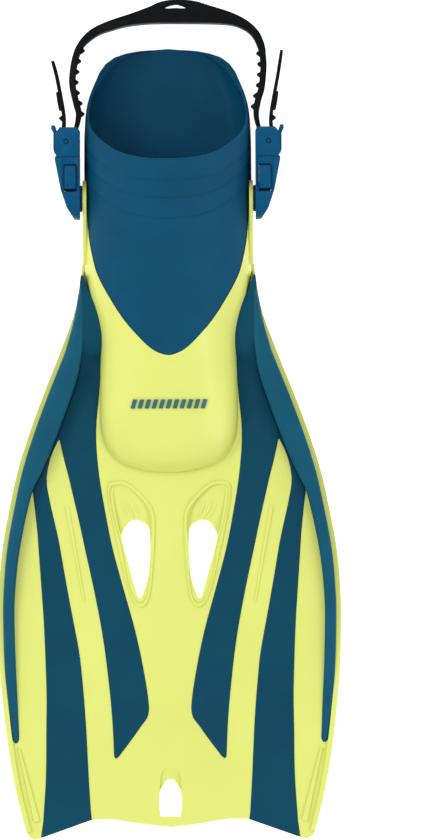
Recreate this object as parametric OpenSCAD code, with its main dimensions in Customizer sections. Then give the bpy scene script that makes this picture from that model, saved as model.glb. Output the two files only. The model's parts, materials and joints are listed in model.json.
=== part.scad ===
// Open-heel swim fin with an adjustable, swivelling heel strap.
// +Y points from the tip to the heel, +Z is up, and the sole rests on z = 0.
// The origin is the middle of the footprint, fin and strap loop together.

/* [Overall] */
// Length from the heel edge to the corners of the tip
fin_length = 525; // [460:1:640]
// How far the strap loop stands out behind the heel edge
strap_reach = 32; // [26:1:40]
// Greatest width across the blade
blade_width = 228; // [188:1:276]
// Width across the foot pocket
pocket_width = 111; // [104:1:134]
// Length of the foot pocket, from the heel edge to the toe end
pocket_length = 283; // [262:1:340]
// Height of the instep above the sole
instep_height = 80; // [70:1:98]

/* [Blade] */
// Thickness of the blade plate
plate_t = 4; // [3:0.2:6]
// Height of the underside of the plate above the sole
plate_z = 14; // [10:0.5:18]
// Thickness of the web that stays under the soft channels
web_t = 1.4; // [1:0.1:2]
// How far the soft channels stand proud of the plate
channel_proud = 1; // [0.4:0.1:2]
// Height of the side rail above the plate where it leaves the foot pocket
rail_h = 16; // [8:0.5:20]
// Width of the hard lip outside the side rail
lip_w = 3.3; // [2:0.1:5]
// Height of that lip above the plate
lip_h = 2; // [1:0.1:3]
// Thickness of the keel under each side of the blade
keel_t = 4; // [3:0.1:6]
// Width of the hanging hole
hang_w = 15; // [10:0.5:20]
// Length of the hanging hole
hang_l = 25; // [22:0.5:34]

/* [Foot pocket] */
// Wall of the foot pocket
wall = 3.8; // [2.8:0.1:4.4]
// Height of the foot bed above the ground
bed_z = 6; // [5:0.1:8]
// Thickness of the stiffening plate inside the sole
sole_plate_t = 2.2; // [1.6:0.1:2.6]

/* [Strap] */
// Width of the strap
strap_w = 25; // [20:0.5:28]
// Thickness of the strap round the heel
strap_t = 4.2; // [3:0.1:4.6]
// Thickness of the strap where it turns round the roller
strap_thin = 2.4; // [1.8:0.1:2.5]
// Width of the heel pad of the strap
pad_w = 34; // [28:0.5:35]
// Spacing of the ratchet teeth
tooth_pitch = 7; // [5:0.1:9]
// Height of a ratchet tooth
tooth_h = 2; // [1:0.1:2]

/* [Buckle] */
// Diameter of the stud that the buckle swivels on
stud_d = 10; // [8:0.1:11]
// Diameter of the head of the stud
head_d = 15.2; // [13:0.1:16]
// Height of the swivel axis above the sole
swivel_z = 36; // [34:0.5:44]
// Height of the buckle, along Z
buckle_h = 32; // [31:0.5:36]
// Diameter of the roller pin
roller_pin_d = 2.2; // [1.8:0.1:2.4]
// Diameter of the lever pin
lever_pin_d = 2; // [1.6:0.1:2.4]

/* [Fits] */
// Clearance on the radius of a turning pin
pin_gap = 0.06; // [0.04:0.01:0.1]
// Clearance between pieces that move past each other
run_gap = 0.3; // [0.3:0.05:0.5]
// Gap between pieces that are moulded onto each other
mould_gap = 0.1; // [0.05:0.05:0.2]

/* [Hidden] */
$fn = 64;
EPS = 0.01;
YELLOW = "#e7ef80";
BLUE = "#1c4c63";
DEEP_BLUE = "#1e4f6f";
BUCKLE_BLUE = "#1b5f8a";
BLACK = "#27282a";
STEEL = "#b8bcc0";

// Places along the fin.
total_length = fin_length + strap_reach;
tip_y = -total_length / 2;
heel_y = tip_y + fin_length;
crest_y = heel_y + strap_reach;
toe_y = heel_y - pocket_length;
neck_y = toe_y + 0.578 * pocket_length;
blade_run = neck_y - tip_y;
pocket_half = pocket_width / 2;
blade_half = blade_width / 2;
plate_top = plate_z + plate_t;
channel_top = plate_top + channel_proud;
channel_floor = plate_z + web_t;

// Place of the shoulder where the blade, its inlays and its rails end.
shoulder_v = 0.058;
inlay_v = 0.07;
rail_v = 0.1;
fork1_v = 0.345;
fork2_v = 0.43;
rail_end_v = 0.84;
inner_end_v = 0.865;
corner_v = 0.987;
curve_step = 1 / 64;

// Half-width of the blade at each share v of its run, from 0 (pocket) to 1 (full width).
EDGE = [[0, 0], [0.067, 0.034], [0.132, 0.11], [0.198, 0.274], [0.264, 0.457], [0.33, 0.628],
        [0.395, 0.771], [0.461, 0.873], [0.527, 0.954], [0.592, 0.993], [0.64, 1], [0.724, 0.983],
        [0.789, 0.942], [0.855, 0.885], [0.921, 0.805], [1, 0.67]];
// Borders of the soft channels, as shares of the half-width at v.
INNER_IN = [[0.04, 0.93], [0.1, 0.915], [0.132, 0.806], [0.165, 0.686], [0.2, 0.625], [0.264, 0.561],
            [0.33, 0.525], [0.395, 0.466], [0.46, 0.402], [0.527, 0.336], [0.592, 0.267],
            [0.658, 0.202], [0.724, 0.154], [0.781, 0.127], [0.8, 0.137], [0.814, 0.175],
            [0.838, 0.241], [0.865, 0.322]];
INNER_OUT = [[0.345, 0.77], [0.379, 0.705], [0.412, 0.647], [0.477, 0.558], [0.543, 0.486],
             [0.609, 0.429], [0.675, 0.388], [0.74, 0.363], [0.806, 0.35], [0.865, 0.35]];
OUTER_IN = [[0.345, 0.777], [0.36, 0.793], [0.38, 0.803], [0.412, 0.796], [0.444, 0.755], [0.51, 0.667],
            [0.576, 0.609], [0.642, 0.562], [0.707, 0.525], [0.806, 0.511], [0.905, 0.521],
            [1, 0.545]];
OUTER_OUT = [[0.43, 0.872], [0.461, 0.837], [0.51, 0.792], [0.576, 0.756], [0.642, 0.735],
             [0.739, 0.731], [0.806, 0.749], [0.905, 0.798], [1, 0.9]];
RAIL_IN = [[0.05, 0.985], [0.1, 0.955], [0.132, 0.915], [0.165, 0.86], [0.19, 0.812], [0.239, 0.769], [0.297, 0.779],
           [0.345, 0.8], [0.395, 0.837], [0.43, 0.874], [0.51, 0.892], [0.609, 0.904],
           [0.74, 0.906], [0.831, 0.924], [0.85, 0.935]];
// The lip fades out towards the foot pocket.
LIP = [[0, 0], [0.12, 0], [0.2, 1], [1, 1]];
// The tip between its corners: share of the half-width, height above the corners.
TIP = [[0, 8], [0.21, 10.4], [0.4, 13.4], [0.55, 13.3], [0.89, 1.3]];
// Height of the rails above the plate along v, as a share of rail_h.
RAIL_RISE = [[0.05, 1.15], [0.16, 0.95], [0.31, 0.8], [0.56, 0.52], [0.8, 0.16], [0.86, 0.06]];
// Height of the trunk of the inlay above the channels along v, as a share of rail_h.
TRUNK_RISE = [[0.05, 1.3], [0.1, 0.95], [0.16, 0.46], [0.21, 0.17], [0.262, 0]];
// Underside of the keel along v, as a share of plate_z.
KEEL_LIFT = [[0.05, 0.55], [0.1, 0.1], [0.15, 0], [0.6, 0], [0.75, 0.3], [0.93, 1]];

// Sections of the foot pocket: share of its length from the toe, half-width and height as shares.
STATIONS = [[0, 0.11, 0.21], [0.005, 0.3, 0.25], [0.014, 0.45, 0.3], [0.03, 0.6, 0.36],
            [0.051, 0.7, 0.405], [0.08, 0.775, 0.445], [0.115, 0.81, 0.48], [0.164, 0.818, 0.52],
            [0.235, 0.812, 0.57], [0.306, 0.803, 0.62], [0.348, 0.825, 0.655], [0.383, 0.88, 0.68],
            [0.419, 0.935, 0.71], [0.454, 0.972, 0.74], [0.496, 0.99, 0.77], [0.553, 1, 0.82],
            [0.641, 1, 0.9], [0.73, 1, 1], [0.8, 0.995, 1.08], [0.853, 0.975, 1.1],
            [0.889, 0.935, 1.1], [0.917, 0.88, 1.1], [0.952, 0.8, 1.1], [0.975, 0.7, 1.1],
            [0.989, 0.56, 1.1], [0.9975, 0.36, 1.1], [1, 0.18, 1.1]];
// The cavity starts at its own rounded end and then follows the outer sections from this one.
CAVITY_FIRST = 4;
// Height of the straight part of a section's sides.
side_h = 22;
arch_power = 2.4;
arch_steps = 22;
sole_bevel = 4;
// Rim of the foot opening seen from the side: share of the length, share of the instep height.
RIM = [[0.722, 1.06], [0.747, 0.94], [0.775, 0.83], [0.803, 0.67], [0.832, 0.49], [0.87, 0.33],
       [0.92, 0.2], [0.97, 0.11], [1.02, 0.05]];
// Border of the soft upper on the foot pocket: half-width share, share of the pocket length.
TONGUE = [[0, 0.282], [0.18, 0.295], [0.32, 0.318], [0.445, 0.341], [0.53, 0.366], [0.61, 0.387],
          [0.685, 0.412], [0.757, 0.436], [0.805, 0.458], [0.865, 0.482], [0.913, 0.507],
          [0.95, 0.528], [1.1, 0.548]];

// Swivel and side arm.
swivel_y = toe_y + 0.6484 * pocket_length;
arm_t = 2.5;
arm_out = pocket_half + 0.9;
arm_in = arm_out - arm_t;
arm_r = 12;
arm_base_z = 9;
arm_front_z = 33;
boss_r = 8;
boss_out = arm_out + 1.5;
stud_r = stud_d / 2;
head_r = head_d / 2;
head_t = 2.5;
eye_t = 3.2;
socket_in = boss_out + run_gap;
eye_out = socket_in + eye_t;
head_in = eye_out + run_gap;
head_out = head_in + head_t;

// Buckle, drawn on the +X side and mirrored for the other.
buckle_z0 = swivel_z - buckle_h / 2;
buckle_z1 = swivel_z + buckle_h / 2;
cheek_t = 3.2;
cheek_z0 = buckle_z0 + cheek_t;
cheek_z1 = buckle_z1 - cheek_t;
seam_y = swivel_y + 27.7;
plug_end_y = seam_y + 19.3;
socket_tail = 14.3;
plug_out = socket_in + 16;
socket_wall = 2.2;
cavity_in = socket_in + socket_wall;
cavity_out = socket_in + 11.2;
cavity_y = swivel_y + 10.5;
inner_wall_t = 1.6;

// Roller, lever and their pins.
roller_x = socket_in + 8.7;
roller_y = seam_y + 9.8;
roller_pin_r = roller_pin_d / 2;
roller_r = 2;
lever_pin_r = lever_pin_d / 2;
lever_x = socket_in + 13.9;
lever_y = seam_y + 2.75;
barrel_r = 2.3;
arm_gap_x = socket_in + 15.1;
lever_arm_t = 2.2;
lever_lip = 1.4;
spring_len = 9;
pin_fit = 0.02;

// Release tabs.
tab_w = 6;
tab_x0 = cavity_in + 1;
tab_t = 2;
tab_root_r = 1.2;
tab_root_y = seam_y - tab_root_r - run_gap;
tab_root_z = cheek_z1 - 3.4;
tab_tip_y = swivel_y + 5.4;
tab_top = 1.2;
button_y0 = swivel_y + 6.6;
button_y1 = seam_y - 6.3;
tab_room = 1;
tongue_h = 10;

// Strap route in plan.
strap_run_x = roller_x - roller_r - run_gap - strap_thin / 2;
tail_run_x = roller_x + roller_r + run_gap + strap_thin / 2;
wrap_in = roller_r + run_gap;
wrap_out = wrap_in + strap_thin;
pad_y = crest_y - 13.5;
side_bend_y = heel_y - 14;
lobe_h = 17;
tail_tip_x = tail_run_x + 5.4;
tail_tip_y = plug_end_y + 44;
crest_x = 5.5;

// A number between knots of a list of [place, value], smooth through every knot.
function knot(p, v, i = 0) = (i >= len(p) - 2 || v < p[i + 1][0]) ? i : knot(p, v, i + 1);
function rise(a, b) = (b[1] - a[1]) / (b[0] - a[0]);
function slope(p, i) = rise(p[max(i - 1, 0)], p[min(i + 1, len(p) - 1)]);
function smooth(p, v) =
    let (i = knot(p, v), h = p[i + 1][0] - p[i][0], t = (v - p[i][0]) / h)
    (2 * t * t * t - 3 * t * t + 1) * p[i][1] + (t * t * t - 2 * t * t + t) * h * slope(p, i)
    + (3 * t * t - 2 * t * t * t) * p[i + 1][1] + (t * t * t - t * t) * h * slope(p, i + 1);

// A smooth closed ring through hand-placed points.
function ring_point(p, i, t) =
    let (n = len(p), a = p[(i + n - 1) % n], b = p[i], c = p[(i + 1) % n], d = p[(i + 2) % n])
    0.5 * (2 * b + (c - a) * t + (2 * a - 5 * b + 4 * c - d) * t * t
           + (3 * b - a - 3 * c + d) * t * t * t);
function ring(p, steps = 4) = [for (i = [0:len(p) - 1], k = [0:steps - 1]) ring_point(p, i, k / steps)];
// A smooth open line through hand-placed points.
function line_end(p, i) = i < 0 ? 2 * p[0] - p[1] : i >= len(p) ? 2 * p[len(p) - 1] - p[len(p) - 2] : p[i];
function line_point(p, i, t) =
    let (a = line_end(p, i - 1), b = p[i], c = p[i + 1], d = line_end(p, i + 2))
    0.5 * (2 * b + (c - a) * t + (2 * a - 5 * b + 4 * c - d) * t * t
           + (3 * b - a - 3 * c + d) * t * t * t);
function line(p, steps = 5) =
    concat([for (i = [0:len(p) - 2], k = [0:steps - 1]) line_point(p, i, k / steps)], [p[len(p) - 1]]);

// Place along the blade and borders at share v of the run.
function blade_y(v) = neck_y - v * blade_run;
function edge_x(v) = pocket_half + (blade_half - pocket_half) * smooth(EDGE, v);
function border(p, v) = [edge_x(v) * smooth(p, v), blade_y(v)];
function lip_x(v) = edge_x(v) - lip_w * smooth(LIP, v);
// Shares from a to b, on one grid for every border, so that pieces that meet share their points.
function steps(a, b) = a > b ? flip(steps(b, a)) :
    concat([a], [for (k = [ceil(a / curve_step + 0.1):floor(b / curve_step - 0.1)]) k * curve_step], [b]);
function flip(p) = [for (i = [len(p) - 1:-1:0]) p[i]];
function mirrored(p) = [for (q = p) [-q[0], q[1]]];

// Half-width of the foot pocket at a given y, straight between its sections.
function station_y(i) = toe_y + STATIONS[i][0] * pocket_length;
function pocket_x(y) = lookup(y, [for (i = [0:len(STATIONS) - 1]) [station_y(i), STATIONS[i][1] * pocket_half]]);
function inlay_in(v) = let (p = border(INNER_IN, v))
    [p[1] > toe_y ? max(p[0], pocket_x(p[1]) + mould_gap) : p[0], p[1]];

// Half outline of the blade, from the shoulder down the edge and along the tip to the middle.
corner_x = edge_x(corner_v);
function blade_half_outline(inset = 0) = concat(
    [for (v = steps(shoulder_v, corner_v)) [edge_x(v) - inset, blade_y(v)]],
    [[corner_x - 1.8, tip_y + 2], [corner_x - 5.2, tip_y]],
    [for (i = [len(TIP) - 1:-1:0]) [TIP[i][0] * corner_x, tip_y + TIP[i][1]]]);
function tip_edge_y(x) = tip_y + lookup(x / corner_x, TIP);

// The soft inlay: a trunk that forks into the inner and the outer channel.
inlay_outline = concat(
    [for (v = steps(inlay_v, inner_end_v)) inlay_in(v)],
    [for (v = steps(inner_end_v, fork1_v)) border(INNER_OUT, v)],
    [for (v = steps(fork1_v, 0.955)) border(OUTER_IN, v)],
    [[0.545 * corner_x, tip_edge_y(0.545 * corner_x)], [0.9 * corner_x, tip_edge_y(0.9 * corner_x)]],
    [for (v = steps(0.97, fork2_v)) border(OUTER_OUT, v)],
    [for (v = steps(fork2_v, inlay_v)) border(RAIL_IN, v)]);

// Hand-placed rings of the vent, given from the toe end of the pocket.
VENT = [[24.2, -30], [27.6, -32.2], [31.2, -38], [31.4, -44], [27.2, -59.5], [22, -78.4], [20.1, -81.6],
        [18.2, -79.8], [14.2, -67.5], [12.9, -52.8], [12.9, -44], [13.7, -34.8], [18.6, -30.6]];
VENT_RIM = [[29.4, -4.4], [36, -4], [39.8, -5.6], [40.8, -11], [39.6, -20.6], [37.4, -32.3], [33, -52.8],
            [27.2, -76.3], [23, -85], [19.1, -87.6], [15.4, -85], [12.8, -76.3], [10.6, -52.8],
            [9.8, -32.3], [11.2, -23], [15.4, -16.2], [22.8, -8.8]];
vent_rim_w = 2.2;
vent_rim_h = 1.3;
function from_toe(p) = [for (q = p) [q[0], q[1] + toe_y]];
function middle(p) = [for (k = [0, 1]) (max([for (q = p) q[k]]) + min([for (q = p) q[k]])) / 2];
function shrunk(p, by) = let (m = middle(p)) [for (q = p) q - by * (q - m) / norm(q - m)];

module side_prism(points, x0, x1) {
    translate([x0, 0, 0]) rotate([90, 0, 90]) linear_extrude(x1 - x0) polygon(points);
}

module both_sides() {
    children();
    mirror([1, 0, 0]) children();
}

// A bar along X, with its middle line at y and z.
module bar_x(r, x0, x1, y, z) {
    translate([x0, y, z]) rotate([0, 90, 0]) cylinder(r = r, h = x1 - x0);
}

module bar_z(r, x, y, z0, z1) {
    translate([x, y, z0]) cylinder(r = r, h = z1 - z0);
}

module box(x0, x1, y0, y1, z0, z1) {
    translate([x0, y0, z0]) cube([x1 - x0, y1 - y0, z1 - z0]);
}

// ---- Foot pocket ----

// A section across the foot: a flat sole with bevelled edges, upright sides and an arched top.
function section(w, h, z0, bevel) =
    let (s = min(side_h, 0.55 * h))
    concat([[-w + bevel, z0], [w - bevel, z0], [w, z0 + bevel]],
        [for (k = [0:arch_steps]) let (a = 180 * k / arch_steps, c = cos(a))
            [w * sign(c) * pow(abs(c), 2 / arch_power), s + (h - s) * pow(sin(a), 2 / arch_power)]],
        [[-w, z0 + bevel]]);

// A closed skin over sections given as [y, section points], each with the same number of points.
module loft(rings) {
    n = len(rings[0][1]);
    m = len(rings);
    points = [for (r = rings, p = r[1]) [p[0], r[0], p[1]]];
    sides = [for (i = [0:m - 2], k = [0:n - 1]) let (a = i * n + k, b = i * n + (k + 1) % n)
        each [[a, b, a + n], [b, b + n, a + n]]];
    polyhedron(points, concat([[for (k = [n - 1:-1:0]) k]], sides, [[for (k = [0:n - 1]) (m - 1) * n + k]]));
}

function outer_section(i) = let (w = STATIONS[i][1] * pocket_half)
    section(w, STATIONS[i][2] * instep_height, 0, min(sole_bevel, w / 3));
function inner_section(i) = section(STATIONS[i][1] * pocket_half - wall * 1.1,
    STATIONS[i][2] * instep_height - wall, bed_z, 2);

module outer_form() {
    loft([for (i = [0:len(STATIONS) - 1]) [station_y(i), outer_section(i)]]);
}

module cavity_form() {
    last = len(STATIONS) - 3;
    end_h = STATIONS[CAVITY_FIRST - 1][2] * instep_height - wall - 4;
    loft(concat([[toe_y + wall + 1.5, section(0.3 * pocket_half, end_h, bed_z, 2)]],
        [for (i = [CAVITY_FIRST:last]) [station_y(i), inner_section(i)]],
        [[heel_y + 12, inner_section(last)]]));
}

module above_rim() {
    top = 1.4 * instep_height;
    u0 = RIM[0][0];
    u1 = RIM[len(RIM) - 1][0];
    points = concat([for (k = [0:40]) let (u = u0 + (u1 - u0) * k / 40)
        [toe_y + u * pocket_length, smooth(RIM, u) * instep_height]],
        [[toe_y + u1 * pocket_length, top], [toe_y + u0 * pocket_length, top]]);
    side_prism(points, -pocket_width, pocket_width);
}

// Plan of the soft upper, open towards the heel.
module upper_region() {
    half = [for (q = line(TONGUE, 3)) [q[0] * pocket_half, toe_y + q[1] * pocket_length]];
    points = concat(half, [[1.1 * pocket_half, heel_y + 5], [-1.1 * pocket_half, heel_y + 5]],
        flip(mirrored(half)));
    translate([0, 0, -1]) linear_extrude(1.5 * instep_height) polygon(points);
}

// The side arm seen from the side, from the shoulder up to the stud.
arm_y0 = blade_y(shoulder_v) + mould_gap;
module arm_form(x0, x1, grow) {
    side_prism([[arm_y0 - grow, arm_base_z - grow], [arm_y0 + 20, arm_base_z - grow],
        [swivel_y + 2, swivel_z - arm_r - grow], [swivel_y + 2, swivel_z + arm_r + grow],
        [arm_y0 - grow, arm_front_z + grow]], x0, x1);
    bar_x(arm_r + grow, x0, x1, swivel_y, swivel_z);
}

module arm_recess() {
    both_sides() arm_form(arm_in - mould_gap, arm_out + 10, mould_gap);
}

// Plan of the stiffening plate inside the sole.
sole_plate_z = 1.9;
sole_inset = 10;
function sole_half() = [for (y = [toe_y + 16:6:heel_y - 14]) [pocket_x(y) - sole_inset, y]];
module sole_plate_form(grow) {
    half = sole_half();
    points = concat([for (q = half) [q[0] + grow, q[1]]], flip(mirrored([for (q = half) [q[0] + grow, q[1]]])));
    translate([0, 0, sole_plate_z - grow]) linear_extrude(sole_plate_t + 2 * grow) polygon(points);
}

module foot_pocket() {
    color(DEEP_BLUE) difference() {
        intersection() {
            outer_form();
            upper_region();
        }
        cavity_form();
        above_rim();
        arm_recess();
        sole_plate_form(mould_gap / 2);
    }
}

module toe_frame() {
    color(YELLOW) difference() {
        outer_form();
        cavity_form();
        upper_region();
        arm_recess();
        sole_plate_form(mould_gap / 2);
    }
}

module foot_plate() {
    color(YELLOW) sole_plate_form(0);
}

module side_arm() {
    color(YELLOW) union() {
        arm_form(arm_in, arm_out, 0);
        bar_x(boss_r, arm_out - 1, boss_out, swivel_y, swivel_z);
        bar_x(stud_r, boss_out - 1, head_in + 1, swivel_y, swivel_z);
        bar_x(head_r, head_in, head_out, swivel_y, swivel_z);
    }
}

// ---- Blade ----

// The strip between two borders, from share a to share b of the run.
module strip(p_in, p_out, z0, z1) {
    translate([0, 0, z0]) linear_extrude(z1 - z0) polygon(concat(p_in, flip(p_out)));
}

function edge_line(a, b, inset) = [for (v = steps(a, b)) [edge_x(v) - inset, blade_y(v)]];
function lip_line(a, b) = [for (v = steps(a, b)) [lip_x(v), blade_y(v)]];
function border_line(p, a, b) = [for (v = steps(a, b)) border(p, v)];

// Holes of the plate and the gap that the foot pocket fills.
module hang_hole(z0, z1) {
    top = tip_y + 40;
    w = hang_w / 2;
    half = line([[0.12 * w, top - 0.1], [0.38 * w, top - 1.2], [0.74 * w, top - 5.2], [0.96 * w, top - 9.6],
        [w, top - 14], [0.98 * w, top - 0.78 * hang_l], [0.86 * w, top - hang_l]], 3);
    translate([0, 0, z0]) linear_extrude(z1 - z0) polygon(concat(half, flip(mirrored(half))));
}

module vent_hole(z0, z1) {
    both_sides() translate([0, 0, z0]) linear_extrude(z1 - z0) polygon(ring(from_toe(VENT)));
}

module pocket_gap(z0, z1) {
    half = [for (i = [0:len(STATIONS) - 1]) [STATIONS[i][1] * pocket_half + mould_gap,
        station_y(i) - mould_gap]];
    translate([0, 0, z0]) linear_extrude(z1 - z0) polygon(concat(half, flip(mirrored(half))));
}

module inlay_gap() {
    both_sides() translate([0, 0, channel_floor]) linear_extrude(plate_t) polygon(inlay_outline);
}

module keel() {
    v0 = shoulder_v;
    v1 = 0.92;
    profile = concat([for (v = steps(v0, v1)) [blade_y(v), plate_z * smooth(KEEL_LIFT, v)]],
        [[blade_y(v1), plate_z + 1], [blade_y(v0), plate_z + 1]]);
    intersection() {
        strip(edge_line(v0, v1, keel_t), edge_line(v0, v1, 0), -1, plate_z + 1);
        side_prism(profile, 0, blade_width);
    }
}

module lip() {
    strip(lip_line(0.15, corner_v), edge_line(0.15, corner_v, 0), plate_top - 1, plate_top + lip_h);
}

module vent_rim() {
    rim = ring(from_toe(VENT_RIM), 3);
    translate([0, 0, plate_top - 1]) linear_extrude(vent_rim_h + 1) difference() {
        polygon(rim);
        polygon(shrunk(rim, vent_rim_w));
    }
}

// Low tapered ridges on the hard parts of the blade.
module ridge(from, to, w0, w1, h) {
    run = (to - from) / norm(to - from);
    side = [-run[1], run[0]];
    translate([0, 0, plate_top - 1]) linear_extrude(1 + h)
        polygon([from + side * w0 / 2, to + side * w1 / 2, to - side * w1 / 2, from - side * w0 / 2]);
}

function between(p, q, v, share) = (1 - share) * border(p, v) + share * border(q, v);

module ridges() {
    ridge(between(INNER_OUT, OUTER_IN, 0.455, 0.35), between(INNER_OUT, OUTER_IN, 0.61, 0.45), 2.4, 1, 0.8);
    ridge([edge_x(0.85) * 0.935, blade_y(0.85)], [edge_x(0.97) * 0.91, blade_y(0.97)], 1, 3.6, 1.6);
}

module blade() {
    outline = blade_half_outline();
    color(YELLOW) difference() {
        union() {
            translate([0, 0, plate_z]) linear_extrude(plate_t)
                polygon(concat(outline, flip(mirrored(outline))));
            both_sides() {
                keel();
                lip();
                vent_rim();
                ridges();
            }
        }
        pocket_gap(-1, instep_height);
        inlay_gap();
        vent_hole(plate_z - 1, plate_top + 5);
        hang_hole(plate_z - 1, plate_top + 5);
    }
}

module blade_inlay() {
    v1 = 0.262;
    above = [for (v = steps(inlay_v - 0.01, v1)) [blade_y(v), channel_top + rail_h * smooth(TRUNK_RISE, v)]];
    profile = concat(above, [[tip_y - 5, channel_top], [tip_y - 5, channel_floor],
        [blade_y(inlay_v - 0.01), channel_floor]]);
    color(BLUE) intersection() {
        linear_extrude(instep_height) polygon(inlay_outline);
        side_prism(profile, 0, blade_width);
    }
}

module rail() {
    profile = concat([for (v = steps(rail_v, rail_end_v)) [blade_y(v), plate_top + rail_h * smooth(RAIL_RISE, v)]],
        [[blade_y(rail_end_v), plate_top], [blade_y(rail_v), plate_top]]);
    color(BLUE) intersection() {
        strip(border_line(RAIL_IN, rail_v, rail_end_v), lip_line(rail_v, rail_end_v),
            plate_top, plate_top + 2 * rail_h);
        side_prism(profile, 0, blade_width);
    }
}

// ---- Buckle ----

module buckle_socket() {
    plan = [[socket_in, swivel_y - socket_tail], [socket_in + 3.8, swivel_y - socket_tail + 0.6],
        [socket_in + 8.5, swivel_y - 6.3], [socket_in + 12.5, swivel_y + 5.7],
        [plug_out + 0.4, seam_y - 2], [plug_out + 0.2, seam_y], [socket_in, seam_y]];
    side = concat([for (a = [90:10:270]) [swivel_y + socket_tail * cos(a), swivel_z + buckle_h / 2 * sin(a)]],
        [[seam_y, buckle_z0], [seam_y, buckle_z1]]);
    color(BUCKLE_BLUE) difference() {
        intersection() {
            translate([0, 0, buckle_z0]) linear_extrude(buckle_h) polygon(plan);
            side_prism(side, socket_in - 1, plug_out + 5);
        }
        bar_x(stud_r + pin_gap, socket_in - 1, eye_out + 1, swivel_y, swivel_z);
        bar_x(head_r + run_gap, eye_out, plug_out + 5, swivel_y, swivel_z);
        box(cavity_in, cavity_out, cavity_y, seam_y + 1, cheek_z0, cheek_z1);
        for (s = [0, 1]) mirror_z(s) {
            box(cavity_in, cavity_in + tab_w + 2, tab_tip_y - 1, cavity_y + 1, swivel_z + tongue_h / 2, cheek_z1);
            box(cavity_in, cavity_in + tab_w + 2, tab_tip_y - 1, button_y1 + tab_room, cheek_z1 - 1, buckle_z1 + 1);
        }
    }
}

// Mirrors its children about the middle height of the buckle.
module mirror_z(on) {
    translate([0, 0, on * 2 * swivel_z]) mirror([0, 0, on]) children();
}

module buckle_plug() {
    cheek = [[socket_in, seam_y], [plug_out - 0.6, seam_y], [plug_out, seam_y + 2],
        [plug_out, plug_end_y - 4], [plug_out - 3, plug_end_y], [socket_in + 1.5, plug_end_y],
        [socket_in, plug_end_y - 2]];
    color(BUCKLE_BLUE) difference() {
        union() {
            for (z = [buckle_z0, cheek_z1])
                translate([0, 0, z]) linear_extrude(cheek_t) polygon(cheek);
            box(socket_in, socket_in + inner_wall_t, seam_y, plug_end_y - 5, cheek_z0 - 1, cheek_z1 + 1);
            box(socket_in, lever_x - barrel_r - run_gap, seam_y, seam_y + 1.7, cheek_z0 - 1, cheek_z1 + 1);
            box(cavity_in + run_gap, cavity_out - run_gap, cavity_y + run_gap, seam_y + 1,
                swivel_z - tongue_h / 2, swivel_z + tongue_h / 2);
        }
        bar_z(roller_pin_r + pin_fit, roller_x, roller_y, buckle_z0 - 1, buckle_z1 + 1);
        bar_z(lever_pin_r + pin_fit, lever_x, lever_y, buckle_z0 - 1, buckle_z1 + 1);
    }
}

module ratchet_lever() {
    z0 = cheek_z0 + run_gap;
    z1 = cheek_z1 - run_gap;
    gap0 = swivel_z - spring_len / 2 - run_gap;
    gap1 = swivel_z + spring_len / 2 + run_gap;
    plate = [[arm_gap_x, lever_y - 0.4], [arm_gap_x + lever_arm_t - 0.6, lever_y - 0.4],
        [arm_gap_x + lever_arm_t, lever_y + 2], [arm_gap_x + lever_arm_t, plug_end_y - 3.6],
        [arm_gap_x + lever_arm_t + lever_lip, plug_end_y - 1], [arm_gap_x + lever_arm_t + lever_lip, plug_end_y + 1.4],
        [arm_gap_x + 1.2, plug_end_y + 1.4], [arm_gap_x, plug_end_y - 2.5], [arm_gap_x, roller_y + 4],
        [tail_run_x + strap_thin / 2 + run_gap, roller_y + 2.2], [arm_gap_x, roller_y + 1.2]];
    color(BUCKLE_BLUE) difference() {
        union() {
            translate([0, 0, z0]) linear_extrude(z1 - z0) polygon(plate);
            bar_z(barrel_r, lever_x, lever_y, z0, z1);
        }
        box(lever_x - barrel_r - 1, lever_x + lever_pin_r + 1.15, lever_y - barrel_r - 1, lever_y + barrel_r + 1,
            gap0, gap1);
        bar_z(lever_pin_r + pin_gap, lever_x, lever_y, z0 - 1, z1 + 1);
    }
}

module lever_pin() {
    color(STEEL) bar_z(lever_pin_r, lever_x, lever_y, buckle_z0 + 0.2, buckle_z1 - 0.2);
}

// A torsion spring round the lever pin, with one leg against the cross wall of the plug.
module lever_spring() {
    wire = 0.7;
    r_in = lever_pin_r + 0.15;
    turns = floor(spring_len / wire);
    z0 = swivel_z - turns * wire / 2;
    color(STEEL) union() {
        translate([lever_x, lever_y, 0]) rotate_extrude() polygon(concat(
            [[r_in, z0], [r_in + 0.4 * wire, z0]],
            [for (k = [0:turns - 1]) each [[r_in + wire, z0 + (k + 0.5) * wire], [r_in + 0.6 * wire, z0 + (k + 1) * wire]]],
            [[r_in, z0 + turns * wire]]));
        box(lever_x - barrel_r - run_gap, lever_x - r_in - 0.1, seam_y + 1.7 - wire, seam_y + 1.7,
            z0 + wire, z0 + 2 * wire);
    }
}

module strap_roller() {
    color(STEEL) difference() {
        bar_z(roller_r, roller_x, roller_y, cheek_z0 + run_gap, cheek_z1 - run_gap);
        bar_z(roller_pin_r + pin_gap, roller_x, roller_y, cheek_z0 - 1, cheek_z1 + 1);
    }
}

module roller_pin() {
    color(STEEL) bar_z(roller_pin_r, roller_x, roller_y, buckle_z0 + 0.2, buckle_z1 - 0.2);
}

module release_tab() {
    color(BUCKLE_BLUE) union() {
        box(tab_x0, tab_x0 + tab_w, tab_tip_y, tab_root_y, tab_root_z - tab_t / 2, tab_root_z + tab_t / 2);
        bar_x(tab_root_r, tab_x0, tab_x0 + tab_w, tab_root_y, tab_root_z);
        side_prism([[button_y0, tab_root_z], [button_y1, tab_root_z], [button_y1, buckle_z1 + tab_top - 0.7],
            [button_y1 - 1.5, buckle_z1 + tab_top], [button_y0 + 1.5, buckle_z1 + tab_top],
            [button_y0, buckle_z1 + tab_top - 0.7]], tab_x0, tab_x0 + tab_w);
    }
}

// ---- Strap ----

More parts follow.
